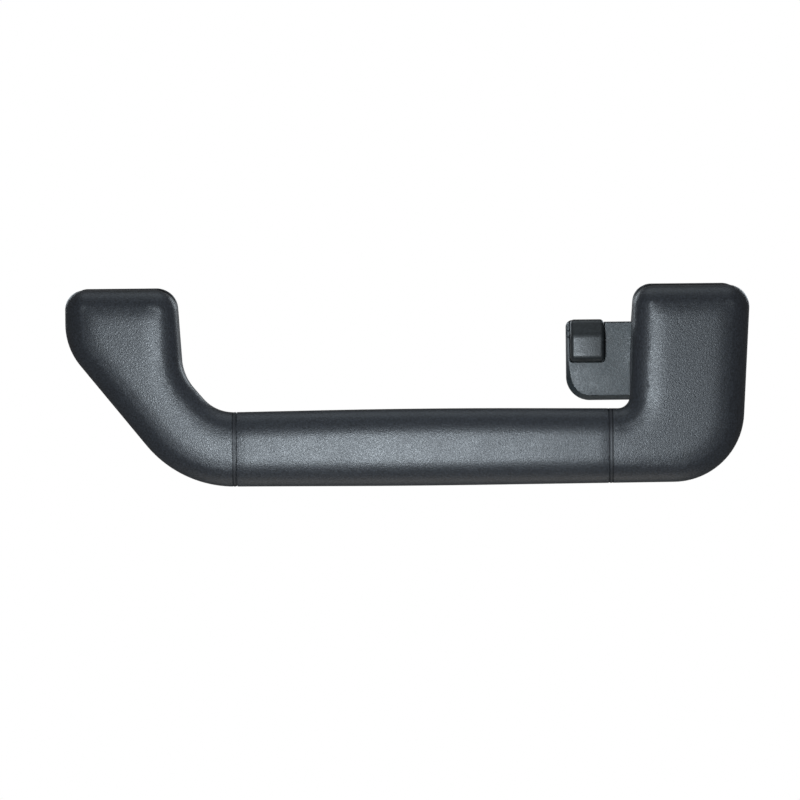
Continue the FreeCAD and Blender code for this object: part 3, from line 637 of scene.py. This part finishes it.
def lip_stations(x0, x1, lip):
    """Places along a bar piece, with how far each is drawn in to round its end edges."""
    angles = [math.radians(a) for a in (0, 22.5, 45, 67.5, 90)]
    start = [(x0 + lip * (1 - math.cos(a)), lip * (1 - math.sin(a))) for a in angles]
    count = max(1, round((x1 - x0) / STATION_STEP))
    middle = [(x0 + (x1 - x0) * k / count, 0.0) for k in range(1, count)]
    end = [(x1 - lip * (1 - math.cos(a)), lip * (1 - math.sin(a))) for a in angles[::-1]]
    return start + middle + end


def clipped(ring, y0, y1):
    """The open run of a ring's points between two depths, with points added where it crosses them."""
    n = len(ring)
    inside = [y0 <= y <= y1 for y in ring[:, 0]]
    start = next(i for i in range(n) if inside[i] and not inside[i - 1])
    run = [crossing(ring[start - 1], ring[start], y0, y1)]
    i = start
    while inside[i % n]:
        run.append(tuple(ring[i % n]))
        i += 1
    run.append(crossing(ring[i % n], ring[(i - 1) % n], y0, y1))
    return run


def crossing(outside, inside, y0, y1):
    """Where the run from an outside point to an inside one enters the band of depths."""
    level = y0 if outside[0] < y0 else y1
    t = (level - outside[0]) / (inside[0] - outside[0])
    return level, outside[1] + t * (inside[1] - outside[1])


def half_shell(stations, y0, y1):
    """Half of the grip's tube, between two depths, as one closed piece."""
    rings = []
    for x, inset in stations:
        outer = clipped(bar_section(x, inset), y0, y1)
        inner = clipped(bar_section(x, WALL), y0, y1)
        rings.append([(x, y, z) for y, z in outer + inner[::-1]])
    return lofted("half_shell", rings)


def grip_mouldings():
    gap = RING_WIDTH / 2 + GRIP_GAP
    stations = lip_stations(SEAM_X["left"] + gap, SEAM_X["right"] - gap, LIP)
    for half, y0, y1 in (("front", -FAR, Y_PART), ("back", Y_PART + PART_GAP, FAR)):
        shell = half_shell(stations, y0, y1)
        finish_piece(shell, f"grip_{half}_moulding", "handle_plastic", HANDLE_PLASTIC, "grip",
                     f"grip_{half}_shell")


def seam_rings():
    for side, x in SEAM_X.items():
        x0, x1 = x - RING_WIDTH / 2, x + RING_WIDTH / 2
        stations = [(x0 - FLANGE, FLANGE_DEPTH), (x0, FLANGE_DEPTH)] + lip_stations(x0, x1, RING_LIP)
        stations += [(x1, FLANGE_DEPTH), (x1 + FLANGE, FLANGE_DEPTH)]
        outer = lofted("ring", [[(sx, y, z) for y, z in bar_section(sx, inset)] for sx, inset in stations])
        top, bottom = bar_heights(x)
        high, low = top - RING_WALL, bottom + RING_WALL
        front, back = Y_FRONT + RING_WALL, Y_BAR_BACK - RING_WALL
        corners = box_corners(front, back, low, high, RING_BORE_R)
        bore = rolled(*sampled(corners), [(0.0, x - RING_BORE_HALF), (0.0, x + RING_BORE_HALF)], from_side)
        finish_piece(cut(outer, bore), side + "_seam_moulding", "seam_trim", SEAM_TRIM, "grip",
                     side + "_seam_ring")


# ---- Coat hook ----
def plate_bevel(p):
    """Width of the plate's front bevel: wide along its lower edge, and narrower up its side and on top."""
    rise = np.clip((p[1] - BEVEL_FROM) / (BEVEL_TO - BEVEL_FROM), 0, 1)
    return BEVEL_WIDE + (BEVEL_NARROW - BEVEL_WIDE) * rise * rise * (3 - 2 * rise)


def plate_profile():
    """The plate from its back to its face, with a bevel that is rounded along both edges."""
    profile = [(0.0, Y_TRAY_BACK)]
    for k in range(BEVEL_OUTER_STEPS + 1):
        u = k / BEVEL_OUTER_STEPS
        profile.append((lambda p, u=u: BEVEL_ROUND * plate_bevel(p) * u ** 2,
                        Y_TRAY + BEVEL_DEPTH - BEVEL_OUTER_DROP * k))
    for k in range(BEVEL_INNER_STEPS + 1):
        u = k / BEVEL_INNER_STEPS
        profile.append((lambda p, u=u: plate_bevel(p) * (1 - BEVEL_ROUND + BEVEL_ROUND * u),
                        Y_TRAY + BEVEL_INNER_DROP * (1 - u) ** 2))
    return profile


def hook_plate():
    hidden = HOOK_RIGHT + HOOK_HIDDEN
    outline = [
        (HOOK_LEFT, EAR_TOP, HOOK_CORNER_SMALL),
        (HOOK_LEFT, HOOK_BOTTOM, HOOK_CORNER),
        (hidden, HOOK_BOTTOM, HOOK_CORNER_SMALL),
        (hidden, HOOK_TOP, HOOK_CORNER_SMALL),
        (EAR_STEP + 1.0, HOOK_TOP, EAR_STEP_R),
        (EAR_STEP, EAR_TOP, EAR_STEP_R),
    ]
    plate = rolled(*sampled(outline, step=0.8, turn=5.0), plate_profile(), from_front)
    swing = block(*POCKET, POCKET_FRONT, SWING_FLOOR, SWING_FROM, POCKET_TOP)
    bore = drum(HOOK_PIN_R, HOOK_LEFT - OVERCUT, HOOK_PIN_END, *HOOK_AXIS, count=32)
    cut(plate, block(x0=HOOK_RIGHT), pocket_form(), swing, bore, ear_notch())
    combine(plate, block(*TONGUE_X, *TONGUE_Y, *TONGUE_Z), "UNION")
    for x, z in HOOK_SCREWS:
        cut(plate, post(HOOK_SCREW_R, TONGUE_Y[0] + HOOK_SCREW_SKIN, TONGUE_Y[1] + OVERCUT, x, z))
    finish_piece(plate, "coat_hook_plate_moulding", "hook_plastic", HOOK_PLASTIC, "base",
                 "coat_hook_plate")


def pocket_form():
    """The pocket the lever lies in: rounded lower corners, open at the top."""
    x0, x1 = POCKET
    corners = [(x0, POCKET_TOP, POCKET_TOP_R), (x0, POCKET_END, POCKET_CORNER),
               (x1, POCKET_END, POCKET_CORNER), (x1, POCKET_TOP, POCKET_TOP_R)]
    profile = [(0.0, POCKET_FLOOR), (0.0, Y_TRAY + POCKET_LEAD), (-POCKET_LEAD, Y_TRAY - POCKET_LIFT),
               (-POCKET_LEAD, POCKET_FRONT)]
    return rolled(*sampled(corners, step=1.5, turn=10.0), profile, from_front)


def ear_notch():
    corners = box_corners(*NOTCH_Y, *NOTCH_Z, NOTCH_R)
    profile = [(0.0, HOOK_LEFT + EAR_SKIN), (0.0, POCKET[0] + NOTCH_PAST)]
    return rolled(*sampled(corners, step=0.5, turn=15.0), profile, from_side)


def hook_lever():
    """The folding lever: a pillowed nose with rounded sides, and a relief beside the outer ear."""
    outline = [
        (LEVER_HEEL, 10.9, 2.2),
        (-9.9, LEVER_TOP, 1.7),
        (-12.4, LEVER_TOP, 2.6),
        (LEVER_FRONT, 8.2, 4.2),
        (LEVER_FRONT, LEVER_TIP, 2.6),
        (LEVER_BACK, LEVER_TIP, 1.7),
        (LEVER_BACK, 5.0, 1.5),
        (LEVER_HEEL, 5.9, 1.7),
    ]
    x0, x1 = LEVER
    profile = []
    for k in range(LEVER_ROLL_STEPS + 1):
        a = math.radians(90 * k / LEVER_ROLL_STEPS)
        inset = LEVER_ROLL * (1 - math.sin(a)) * LEVER_ROLL_IN
        profile.append((inset, x0 + LEVER_ROLL * (1 - math.cos(a))))
    profile += [(inset, x0 + x1 - x) for inset, x in profile[::-1]]
    lever = rolled(*sampled(outline, step=0.6, turn=6.0), profile, from_side)
    y, z = HOOK_AXIS
    s0, s1 = HOOK_SPRING_X[0] - SPRING_ROOM_SIDE, HOOK_SPRING_X[1] + SPRING_ROOM_SIDE
    cut(lever,
        block(x0 - OVERCUT, x0 + RELIEF_DEPTH, *RELIEF_Y, *RELIEF_Z),
        drum(HOOK_PIN_R + HOOK_PIN_PLAY, *LEVER_BORE, y, z, count=32),
        drum(SPRING_ROOM_R, s0, s1, y, z, count=40),
        block(s0, s1, y, SPRING_ROOM_BACK, SPRING_ROOM_LOW, z),
        block(s0, s0 + SPRING_ROOM_LEG, y - SPRING_ROOM_R, y, SPRING_ROOM_LOW, z))
    finish_piece(lever, "coat_hook_lever_moulding", "hook_plastic", LEVER_PLASTIC, "coat_hook",
                 "coat_hook_lever")


# ---- Springs: the coil stays with the base, and the moving leg goes with what it pulls ----
def wire(name, path, radius):
    """A round wire along a path, with rounded ends."""
    path = np.array(path, float)
    along = np.gradient(path, axis=0)
    along /= np.linalg.norm(along, axis=1)[:, None]
    side = np.cross(along[0], ASKEW)
    side /= np.linalg.norm(side)
    rings = []
    for i, (p, t) in enumerate(zip(path, along)):
        side = side - t * (side @ t)
        side /= np.linalg.norm(side)
        up = np.cross(t, side)
        turns = [2 * math.pi * k / WIRE_SIDES for k in range(WIRE_SIDES)]
        ring = [p + radius * (side * math.cos(a) + up * math.sin(a)) for a in turns]
        if i in (0, len(path) - 1):
            nose = p + t * radius * (TIP_REACH if i else -TIP_REACH)
            tip = [nose + (q - p) * TIP_SIZE for q in ring]
            rings += [tip, ring] if i == 0 else [ring, tip]
        else:
            rings.append(ring)
    return lofted(name, rings)


def coil_path(radius, turns, x0, x1, y, z):
    """A coil along X that starts at the front."""
    steps = round(turns * COIL_STEPS)
    path = []
    for k in range(steps + 1):
        a = math.radians(180.0 + 360 * turns * k / steps)
        path.append((x0 + (x1 - x0) * k / steps, y + radius * math.cos(a), z + radius * math.sin(a)))
    return path


def bent(points, radius):
    """A path through corner points, with each corner rounded."""
    points = [np.array(p, float) for p in points]
    path = [points[0]]
    for a, b, c in zip(points, points[1:], points[2:]):
        to_a = (a - b) / np.linalg.norm(a - b)
        to_c = (c - b) / np.linalg.norm(c - b)
        for k in range(BEND_STEPS + 1):
            t = k / BEND_STEPS
            path.append(b + to_a * radius * (1 - t) ** 2 + to_c * radius * t ** 2)
    path.append(points[-1])
    return path


def straight_down(x, y, z, leg):
    """A leg's points, from its distance below the coil, its spacing and its count."""
    start, spacing, count = leg
    return [(x, y, z - start - spacing * k) for k in range(count)]


def springs():
    coil = coil_path(COIL_R, COIL_TURNS, *SPRING_X, HINGE_Y, HINGE_Z)
    x, y, z = coil[-1]
    fixed_leg = bent([(x, y, z), (x, y + FIXED_LEG_RUN, z), (x, Y_FLANGE, z)], FIXED_LEG_BEND)
    leg_x = SPRING_X[0]
    leg_y = HINGE_Y - COIL_R + LEG_INSET
    moving_leg = bent([(leg_x, leg_y, HINGE_Z + LEG_OVERLAP), (leg_x, leg_y, SPRING_LEG_Z),
                       (leg_x, SPRING_HOOK_Y, SPRING_LEG_Z)], LEG_BEND)
    hook_coil = coil_path(HOOK_COIL_R, HOOK_COIL_TURNS, *HOOK_SPRING_X, *HOOK_AXIS)
    hook_fixed_leg = straight_down(*hook_coil[-1], HOOK_FIXED_LEG)
    hook_y, hook_z = HOOK_AXIS
    hook_moving_leg = straight_down(HOOK_SPRING_X[0], hook_y - HOOK_COIL_R, hook_z, HOOK_MOVING_LEG)
    for name, path, radius, body, node in (
        ("return_spring_coil", coil + fixed_leg[1:], WIRE_R, "base", "return_spring"),
        ("return_spring_leg", moving_leg, WIRE_R, "grip", "return_spring"),
        ("coat_hook_spring_coil", hook_coil + hook_fixed_leg, HOOK_WIRE_R, "base", "coat_hook_spring"),
        ("coat_hook_spring_leg", hook_moving_leg, HOOK_WIRE_R, "coat_hook", "coat_hook_spring"),
    ):
        finish_piece(wire(name, path, radius), name, "spring_steel", SPRING_STEEL, body, node)


# ---- Mounting screws with rolled threads ----
def turned_piece(name, stations, x, z):
    """A piece turned about a line along Y. A station is a depth and a radius, or a function of the angle."""
    rings = []
    for y, radius in stations:
        ring = []
        for k in range(SCREW_SIDES):
            a = 2 * math.pi * k / SCREW_SIDES
            r = radius(a) if callable(radius) else radius
            ring.append((x + r * math.cos(a), y, z + r * math.sin(a)))
        rings.append(ring)
    return lofted(name, rings)


def thread_radius(y):
    """Radius of the thread at depth y, for each angle: crests a pitch apart, fading out at both ends."""
    def at(a):
        phase = (y / THREAD_PITCH + a / (2 * math.pi)) % 1.0
        crest = min(1.0, THREAD_FLAT * (1 - abs(2 * phase - 1)))
        grown = max(0.0, y - THREAD_START) / THREAD_PITCH
        left = max(0.0, SCREW_REACH - THREAD_END - y) / THREAD_RUNOUT
        return SCREW_R - THREAD_DEPTH * (1 - crest) * min(1.0, grown, left) - THREAD_SKIN
    return at


def lobe_radius(a):
    """Outline of the six-lobed driver recess."""
    return RECESS_R + RECESS_LOBE * math.cos(6 * a)


def mount_screws():
    seat = Y_FLANGE - WASHER
    head = seat - SCREW_HEAD
    face_r = SCREW_HEAD_R - HEAD_ROLL
    profile = [(head, face_r)]
    for k in range(1, HEAD_ROLL_STEPS + 1):
        a = math.radians(90 * k / HEAD_ROLL_STEPS)
        profile.append((head + HEAD_ROLL * (1 - math.cos(a)), face_r + HEAD_ROLL * math.sin(a)))
    profile += [(seat - HEAD_CHAMFER, SCREW_HEAD_R), (seat, SCREW_HEAD_R - HEAD_CHAMFER)]
    profile += [(seat, SHOULDER_R), (SHOULDER_END, SHOULDER_R), (0.0, SCREW_R)]
    steps = round((SCREW_REACH - THREAD_STOP) / THREAD_STEP)
    for k in range(steps):
        y = THREAD_STEP + THREAD_STEP * k
        profile.append((y, thread_radius(y)))
    profile += [(SCREW_REACH - SCREW_TIP, SCREW_R - SCREW_TIP_FROM), (SCREW_REACH, SCREW_R - SCREW_TIP_TO)]
    for side, x in BLOCK_X.items():
        screw = turned_piece("screw", profile, x, 0.0)
        recess = [(head - OVERCUT, lobe_radius), (head + RECESS_DEPTH, lobe_radius)]
        cut(screw, turned_piece("tool", recess, x, 0.0))
        finish_piece(screw, side + "_mount_screw", "plated_steel", PLATED_STEEL, "base", "mount_screws")


# ---- Materials ----
FLECK = 0.06              # how much one grain's roughness differs from the next
CLOUD_SCALE = 0.45        # the plastic's cloudy noise is coarser than its grain
PIT_WEIGHT = -0.6         # how far the grain's cells stand out of that noise
TINT_FROM, TINT_TO = 0.35, 0.72     # the noise's values between which the plastic's tint changes
TINT_DARK = 0.72
WEAR_SCALE = 60.0         # broad patches of slightly different gloss
WEAR = (-0.05, 0.06)
TARNISH_FROM, TARNISH_TO = 0.35, 0.65
TARNISH_POLISH = (0.10, -0.06)
GRIT_SCALE = 2500.0


def add_node(tree, kind, inputs):
    """A new node. Each input's value is a constant or another node's output."""
    node = tree.nodes.new(kind)
    for key, value in inputs.items():
        if isinstance(value, bpy.types.NodeSocket):
            tree.links.new(value, node.inputs[key])
        else:
            node.inputs[key].default_value = value
    return node


def object_place(tree):
    """Places on the piece itself, so its texture stays with it."""
    return tree.nodes.new("ShaderNodeTexCoord").outputs["Object"]


def ramp(tree, value, start, start_colour, end, end_colour):
    """A colour that changes from one to another as a value goes from start to end."""
    node = add_node(tree, "ShaderNodeValToRGB", {"Fac": value})
    first, last = node.color_ramp.elements
    first.position, last.position = start, end
    first.color = (*start_colour, 1.0)
    last.color = (*end_colour, 1.0)
    return node.outputs["Color"]


def node_material(name, base, roughness, metallic=0.0):
    material = bpy.data.materials.new(name)
    material.use_nodes = True
    shader = material.node_tree.nodes["Principled BSDF"]
    shader.inputs["Base Color"].default_value = (*base, 1.0)
    shader.inputs["Roughness"].default_value = roughness
    shader.inputs["Metallic"].default_value = metallic
    return material


def grained_plastic(name, base, grain, bump, roughness, sparkle):
    """Moulded plastic: fine eroded grain with lighter tips, uneven gloss from grain to grain, and wear."""
    material = node_material(name, base, roughness)
    tree = material.node_tree
    shader = tree.nodes["Principled BSDF"]
    place = object_place(tree)
    cells = add_node(tree, "ShaderNodeTexVoronoi", {"Vector": place, "Scale": 1.0 / (grain * MM)})
    cloud = add_node(tree, "ShaderNodeTexNoise",
                     {"Vector": place, "Scale": CLOUD_SCALE / (grain * MM), "Detail": 4.0})
    height = add_node(tree, "ShaderNodeMath",
                      {0: cells.outputs["Distance"], 1: PIT_WEIGHT, 2: cloud.outputs["Fac"]})
    height.operation = "MULTIPLY_ADD"
    relief = add_node(tree, "ShaderNodeBump",
                      {"Strength": 1.0, "Distance": bump * MM, "Height": height.outputs["Value"]})
    tree.links.new(relief.outputs["Normal"], shader.inputs["Normal"])
    dark = [c * TINT_DARK for c in base]
    light = [min(1.0, c * sparkle) for c in base]
    tint = ramp(tree, cloud.outputs["Fac"], TINT_FROM, dark, TINT_TO, light)
    tree.links.new(tint, shader.inputs["Base Color"])
    broad = add_node(tree, "ShaderNodeTexNoise", {"Vector": place, "Scale": WEAR_SCALE, "Detail": 3.0})
    worn = add_node(tree, "ShaderNodeMapRange", {
        "Value": broad.outputs["Fac"], "To Min": roughness + WEAR[0], "To Max": roughness + WEAR[1]})
    each = add_node(tree, "ShaderNodeSeparateColor", {"Color": cells.outputs["Color"]})
    uneven = add_node(tree, "ShaderNodeMapRange", {
        "Value": each.outputs["Red"], "To Min": -FLECK, "To Max": FLECK})
    polish = add_node(tree, "ShaderNodeMath", {0: worn.outputs["Result"], 1: uneven.outputs["Result"]})
    polish.operation = "ADD"
    tree.links.new(polish.outputs["Value"], shader.inputs["Roughness"])
    return material


def metal(name, clean, dull, roughness, scale, bump):
    """Bare or plated metal: cloudy tarnish, uneven polish and a faint roughness in the surface."""
    material = node_material(name, clean, roughness, 1.0)
    tree = material.node_tree
    shader = tree.nodes["Principled BSDF"]
    place = object_place(tree)
    cloud = add_node(tree, "ShaderNodeTexNoise", {"Vector": place, "Scale": scale, "Detail": 5.0})
    tarnish = ramp(tree, cloud.outputs["Fac"], TARNISH_FROM, dull, TARNISH_TO, clean)
    tree.links.new(tarnish, shader.inputs["Base Color"])
    polish = add_node(tree, "ShaderNodeMapRange", {
        "Value": cloud.outputs["Fac"],
        "To Min": roughness + TARNISH_POLISH[0],
        "To Max": roughness + TARNISH_POLISH[1]})
    tree.links.new(polish.outputs["Result"], shader.inputs["Roughness"])
    grit = add_node(tree, "ShaderNodeTexNoise", {"Vector": place, "Scale": GRIT_SCALE})
    relief = add_node(tree, "ShaderNodeBump", {"Distance": bump * MM, "Height": grit.outputs["Fac"]})
    tree.links.new(relief.outputs["Normal"], shader.inputs["Normal"])
    return material


# Each plastic: base colour, grain in mm, bump in mm, roughness, and how much lighter its tips are.
HANDLE_PLASTIC = grained_plastic("handle_plastic", (0.011, 0.0125, 0.0155), 0.30, 0.058, 0.40, 1.9)
BASE_PLASTIC = grained_plastic("base_plastic", (0.008, 0.009, 0.011), 0.5, 0.03, 0.5, 1.4)
HOOK_PLASTIC = grained_plastic("hook_plastic", (0.011, 0.015, 0.017), 0.34, 0.050, 0.475, 1.8)
SEAM_TRIM = grained_plastic("seam_trim", (0.009, 0.010, 0.013), 0.3, 0.01, 0.52, 1.2)
LEVER_PLASTIC = grained_plastic("lever_plastic", (0.012, 0.014, 0.015), 0.45, 0.035, 0.42, 1.3)
CORE_PLASTIC = grained_plastic("core_plastic", (0.016, 0.017, 0.018), 0.7, 0.04, 0.55, 1.7)
RUBBER = grained_plastic("bumper_rubber", (0.006, 0.006, 0.006), 0.25, 0.012, 0.75, 1.3)
BEARING = grained_plastic("bearing_plastic", (0.62, 0.60, 0.54), 0.3, 0.008, 0.42, 1.08)
# Each metal: clean colour, dull colour, roughness, how fine its clouds are, and bump in mm.
PLATED_STEEL = metal("plated_steel", (0.56, 0.57, 0.56), (0.40, 0.41, 0.38), 0.30, 220.0, 0.004)
CAST_METAL = metal("cast_metal", (0.42, 0.43, 0.44), (0.30, 0.31, 0.32), 0.52, 900.0, 0.05)
SPRING_STEEL = metal("spring_steel", (0.34, 0.35, 0.37), (0.22, 0.22, 0.23), 0.28, 400.0, 0.003)
BLACK_STEEL = metal("black_steel", (0.030, 0.030, 0.032), (0.018, 0.018, 0.018), 0.42, 500.0, 0.003)

SLOT_MATERIALS = {
    "handle_plastic": HANDLE_PLASTIC,
    "base_plastic": BASE_PLASTIC,
    "hook_plastic": HOOK_PLASTIC,
    "seam_trim": SEAM_TRIM,
    "core_plastic": CORE_PLASTIC,
    "bearing_plastic": BEARING,
    "cast_metal": CAST_METAL,
    "plated_steel": PLATED_STEEL,
    "spring_steel": SPRING_STEEL,
    "bumper_rubber": RUBBER,
}
NODE_MATERIALS = {"coat_hook_pin": BLACK_STEEL}


def paint_nodes():
    """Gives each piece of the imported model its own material, or else its slot's."""
    for part in frame["record"]["subparts"]:
        node = frame["nodes"][part["node"]]
        for held in node.material_slots:
            held.material = NODE_MATERIALS.get(part["node"], SLOT_MATERIALS[part["material_slot"]])


# ---- Stage, light and camera ----
FLOOR_Z = -1300.0         # far below, to leave room for views from underneath
FLOOR_HALF = 3000.0
SURROUND = 0.18           # brightness of the studio around the object
COOL = (0.82, 0.92, 1.0)
WARM = (1.0, 0.96, 0.88)
LENS = 180.0
SENSOR = 36.0
SPAN = 0.2815             # width of the view at the handle's front edge, in metres
FRONT_EDGE = -0.027
CAMERA_X, CAMERA_Z = -0.0021, -0.0142
CAMERA_ROLL = 0.57


def seen_or_lit(tree, lit, seen, target):
    """Shows one shader where it is seen directly, while the other one lights the object."""
    rays = tree.nodes.new("ShaderNodeLightPath")
    mixed = add_node(tree, "ShaderNodeMixShader", {"Fac": rays.outputs["Is Camera Ray"], 1: lit, 2: seen})
    tree.links.new(mixed.outputs["Shader"], tree.nodes[target].inputs["Surface"])


def pale_floor():
    corners = [(-FLOOR_HALF, -FLOOR_HALF), (FLOOR_HALF, -FLOOR_HALF),
               (FLOOR_HALF, FLOOR_HALF), (-FLOOR_HALF, FLOOR_HALF)]
    floor = build("floor", [(x, y, FLOOR_Z) for x, y in corners], [(0, 1, 2, 3)])
    paper = node_material("floor_paper", (0.9, 0.9, 0.9), 0.8)
    tree = paper.node_tree
    white = tree.nodes.new("ShaderNodeEmission")
    seen_or_lit(tree, tree.nodes["Principled BSDF"].outputs["BSDF"], white.outputs["Emission"],
                "Material Output")
    floor.data.materials.append(paper)


def studio_world():
    """A soft grey surround that the camera sees as plain white."""
    world = bpy.data.worlds.new("studio")
    bpy.context.scene.world = world
    world.use_nodes = True
    tree = world.node_tree
    surround = tree.nodes["Background"]
    surround.inputs["Color"].default_value = (1.0, 1.0, 1.0, 1.0)
    surround.inputs["Strength"].default_value = SURROUND
    white = add_node(tree, "ShaderNodeBackground", {"Color": (1.0, 1.0, 1.0, 1.0)})
    seen_or_lit(tree, surround.outputs["Background"], white.outputs["Background"], "World Output")


def softbox(name, place, target, size, power, colour=COOL):
    data = bpy.data.lights.new(name, "AREA")
    data.shape = "RECTANGLE"
    data.size, data.size_y = size
    data.energy = power
    data.color = colour
    lamp = bpy.data.objects.new(name, data)
    bpy.context.scene.collection.objects.link(lamp)
    lamp.location = place
    lamp.rotation_euler = (Vector(target) - Vector(place)).to_track_quat("-Z", "Y").to_euler()
    lamp.visible_camera = False


def lights():
    softbox("key", (-0.018, -0.40, -0.05), (-0.01, 0, -0.02), (0.06, 0.06), 1.8)
    softbox("top", (0.0, -0.05, 0.55), (0, 0, 0), (0.5, 0.3), 0.7)
    softbox("below", (0.0, -0.05, -0.55), (0, 0, 0), (0.5, 0.3), 0.55, WARM)
    softbox("back_left", (-0.5, 0.7, 0.3), (0, 0, 0), (0.4, 0.4), 2.0)
    softbox("back_right", (0.5, 0.7, 0.3), (0, 0, 0), (0.4, 0.4), 2.0)


def front_camera():
    data = bpy.data.cameras.new("camera")
    data.lens = LENS
    data.sensor_width = SENSOR
    data.clip_end = 20.0
    camera = bpy.data.objects.new("camera", data)
    bpy.context.scene.collection.objects.link(camera)
    camera.location = (CAMERA_X, FRONT_EDGE - SPAN * LENS / SENSOR, CAMERA_Z)
    camera.rotation_euler = (math.radians(90), math.radians(CAMERA_ROLL), 0)
    bpy.context.scene.camera = camera
    bpy.context.scene.view_settings.view_transform = "Standard"


# ---- The whole scene ----
form = handle_form()
for side in BLOCK_X:
    end_mouldings(form, side)
bpy.data.objects.remove(form)
grip_mouldings()
seam_rings()
hook_plate()
hook_lever()
springs()
mount_screws()
paint_nodes()
pale_floor()
studio_world()
lights()
front_camera()
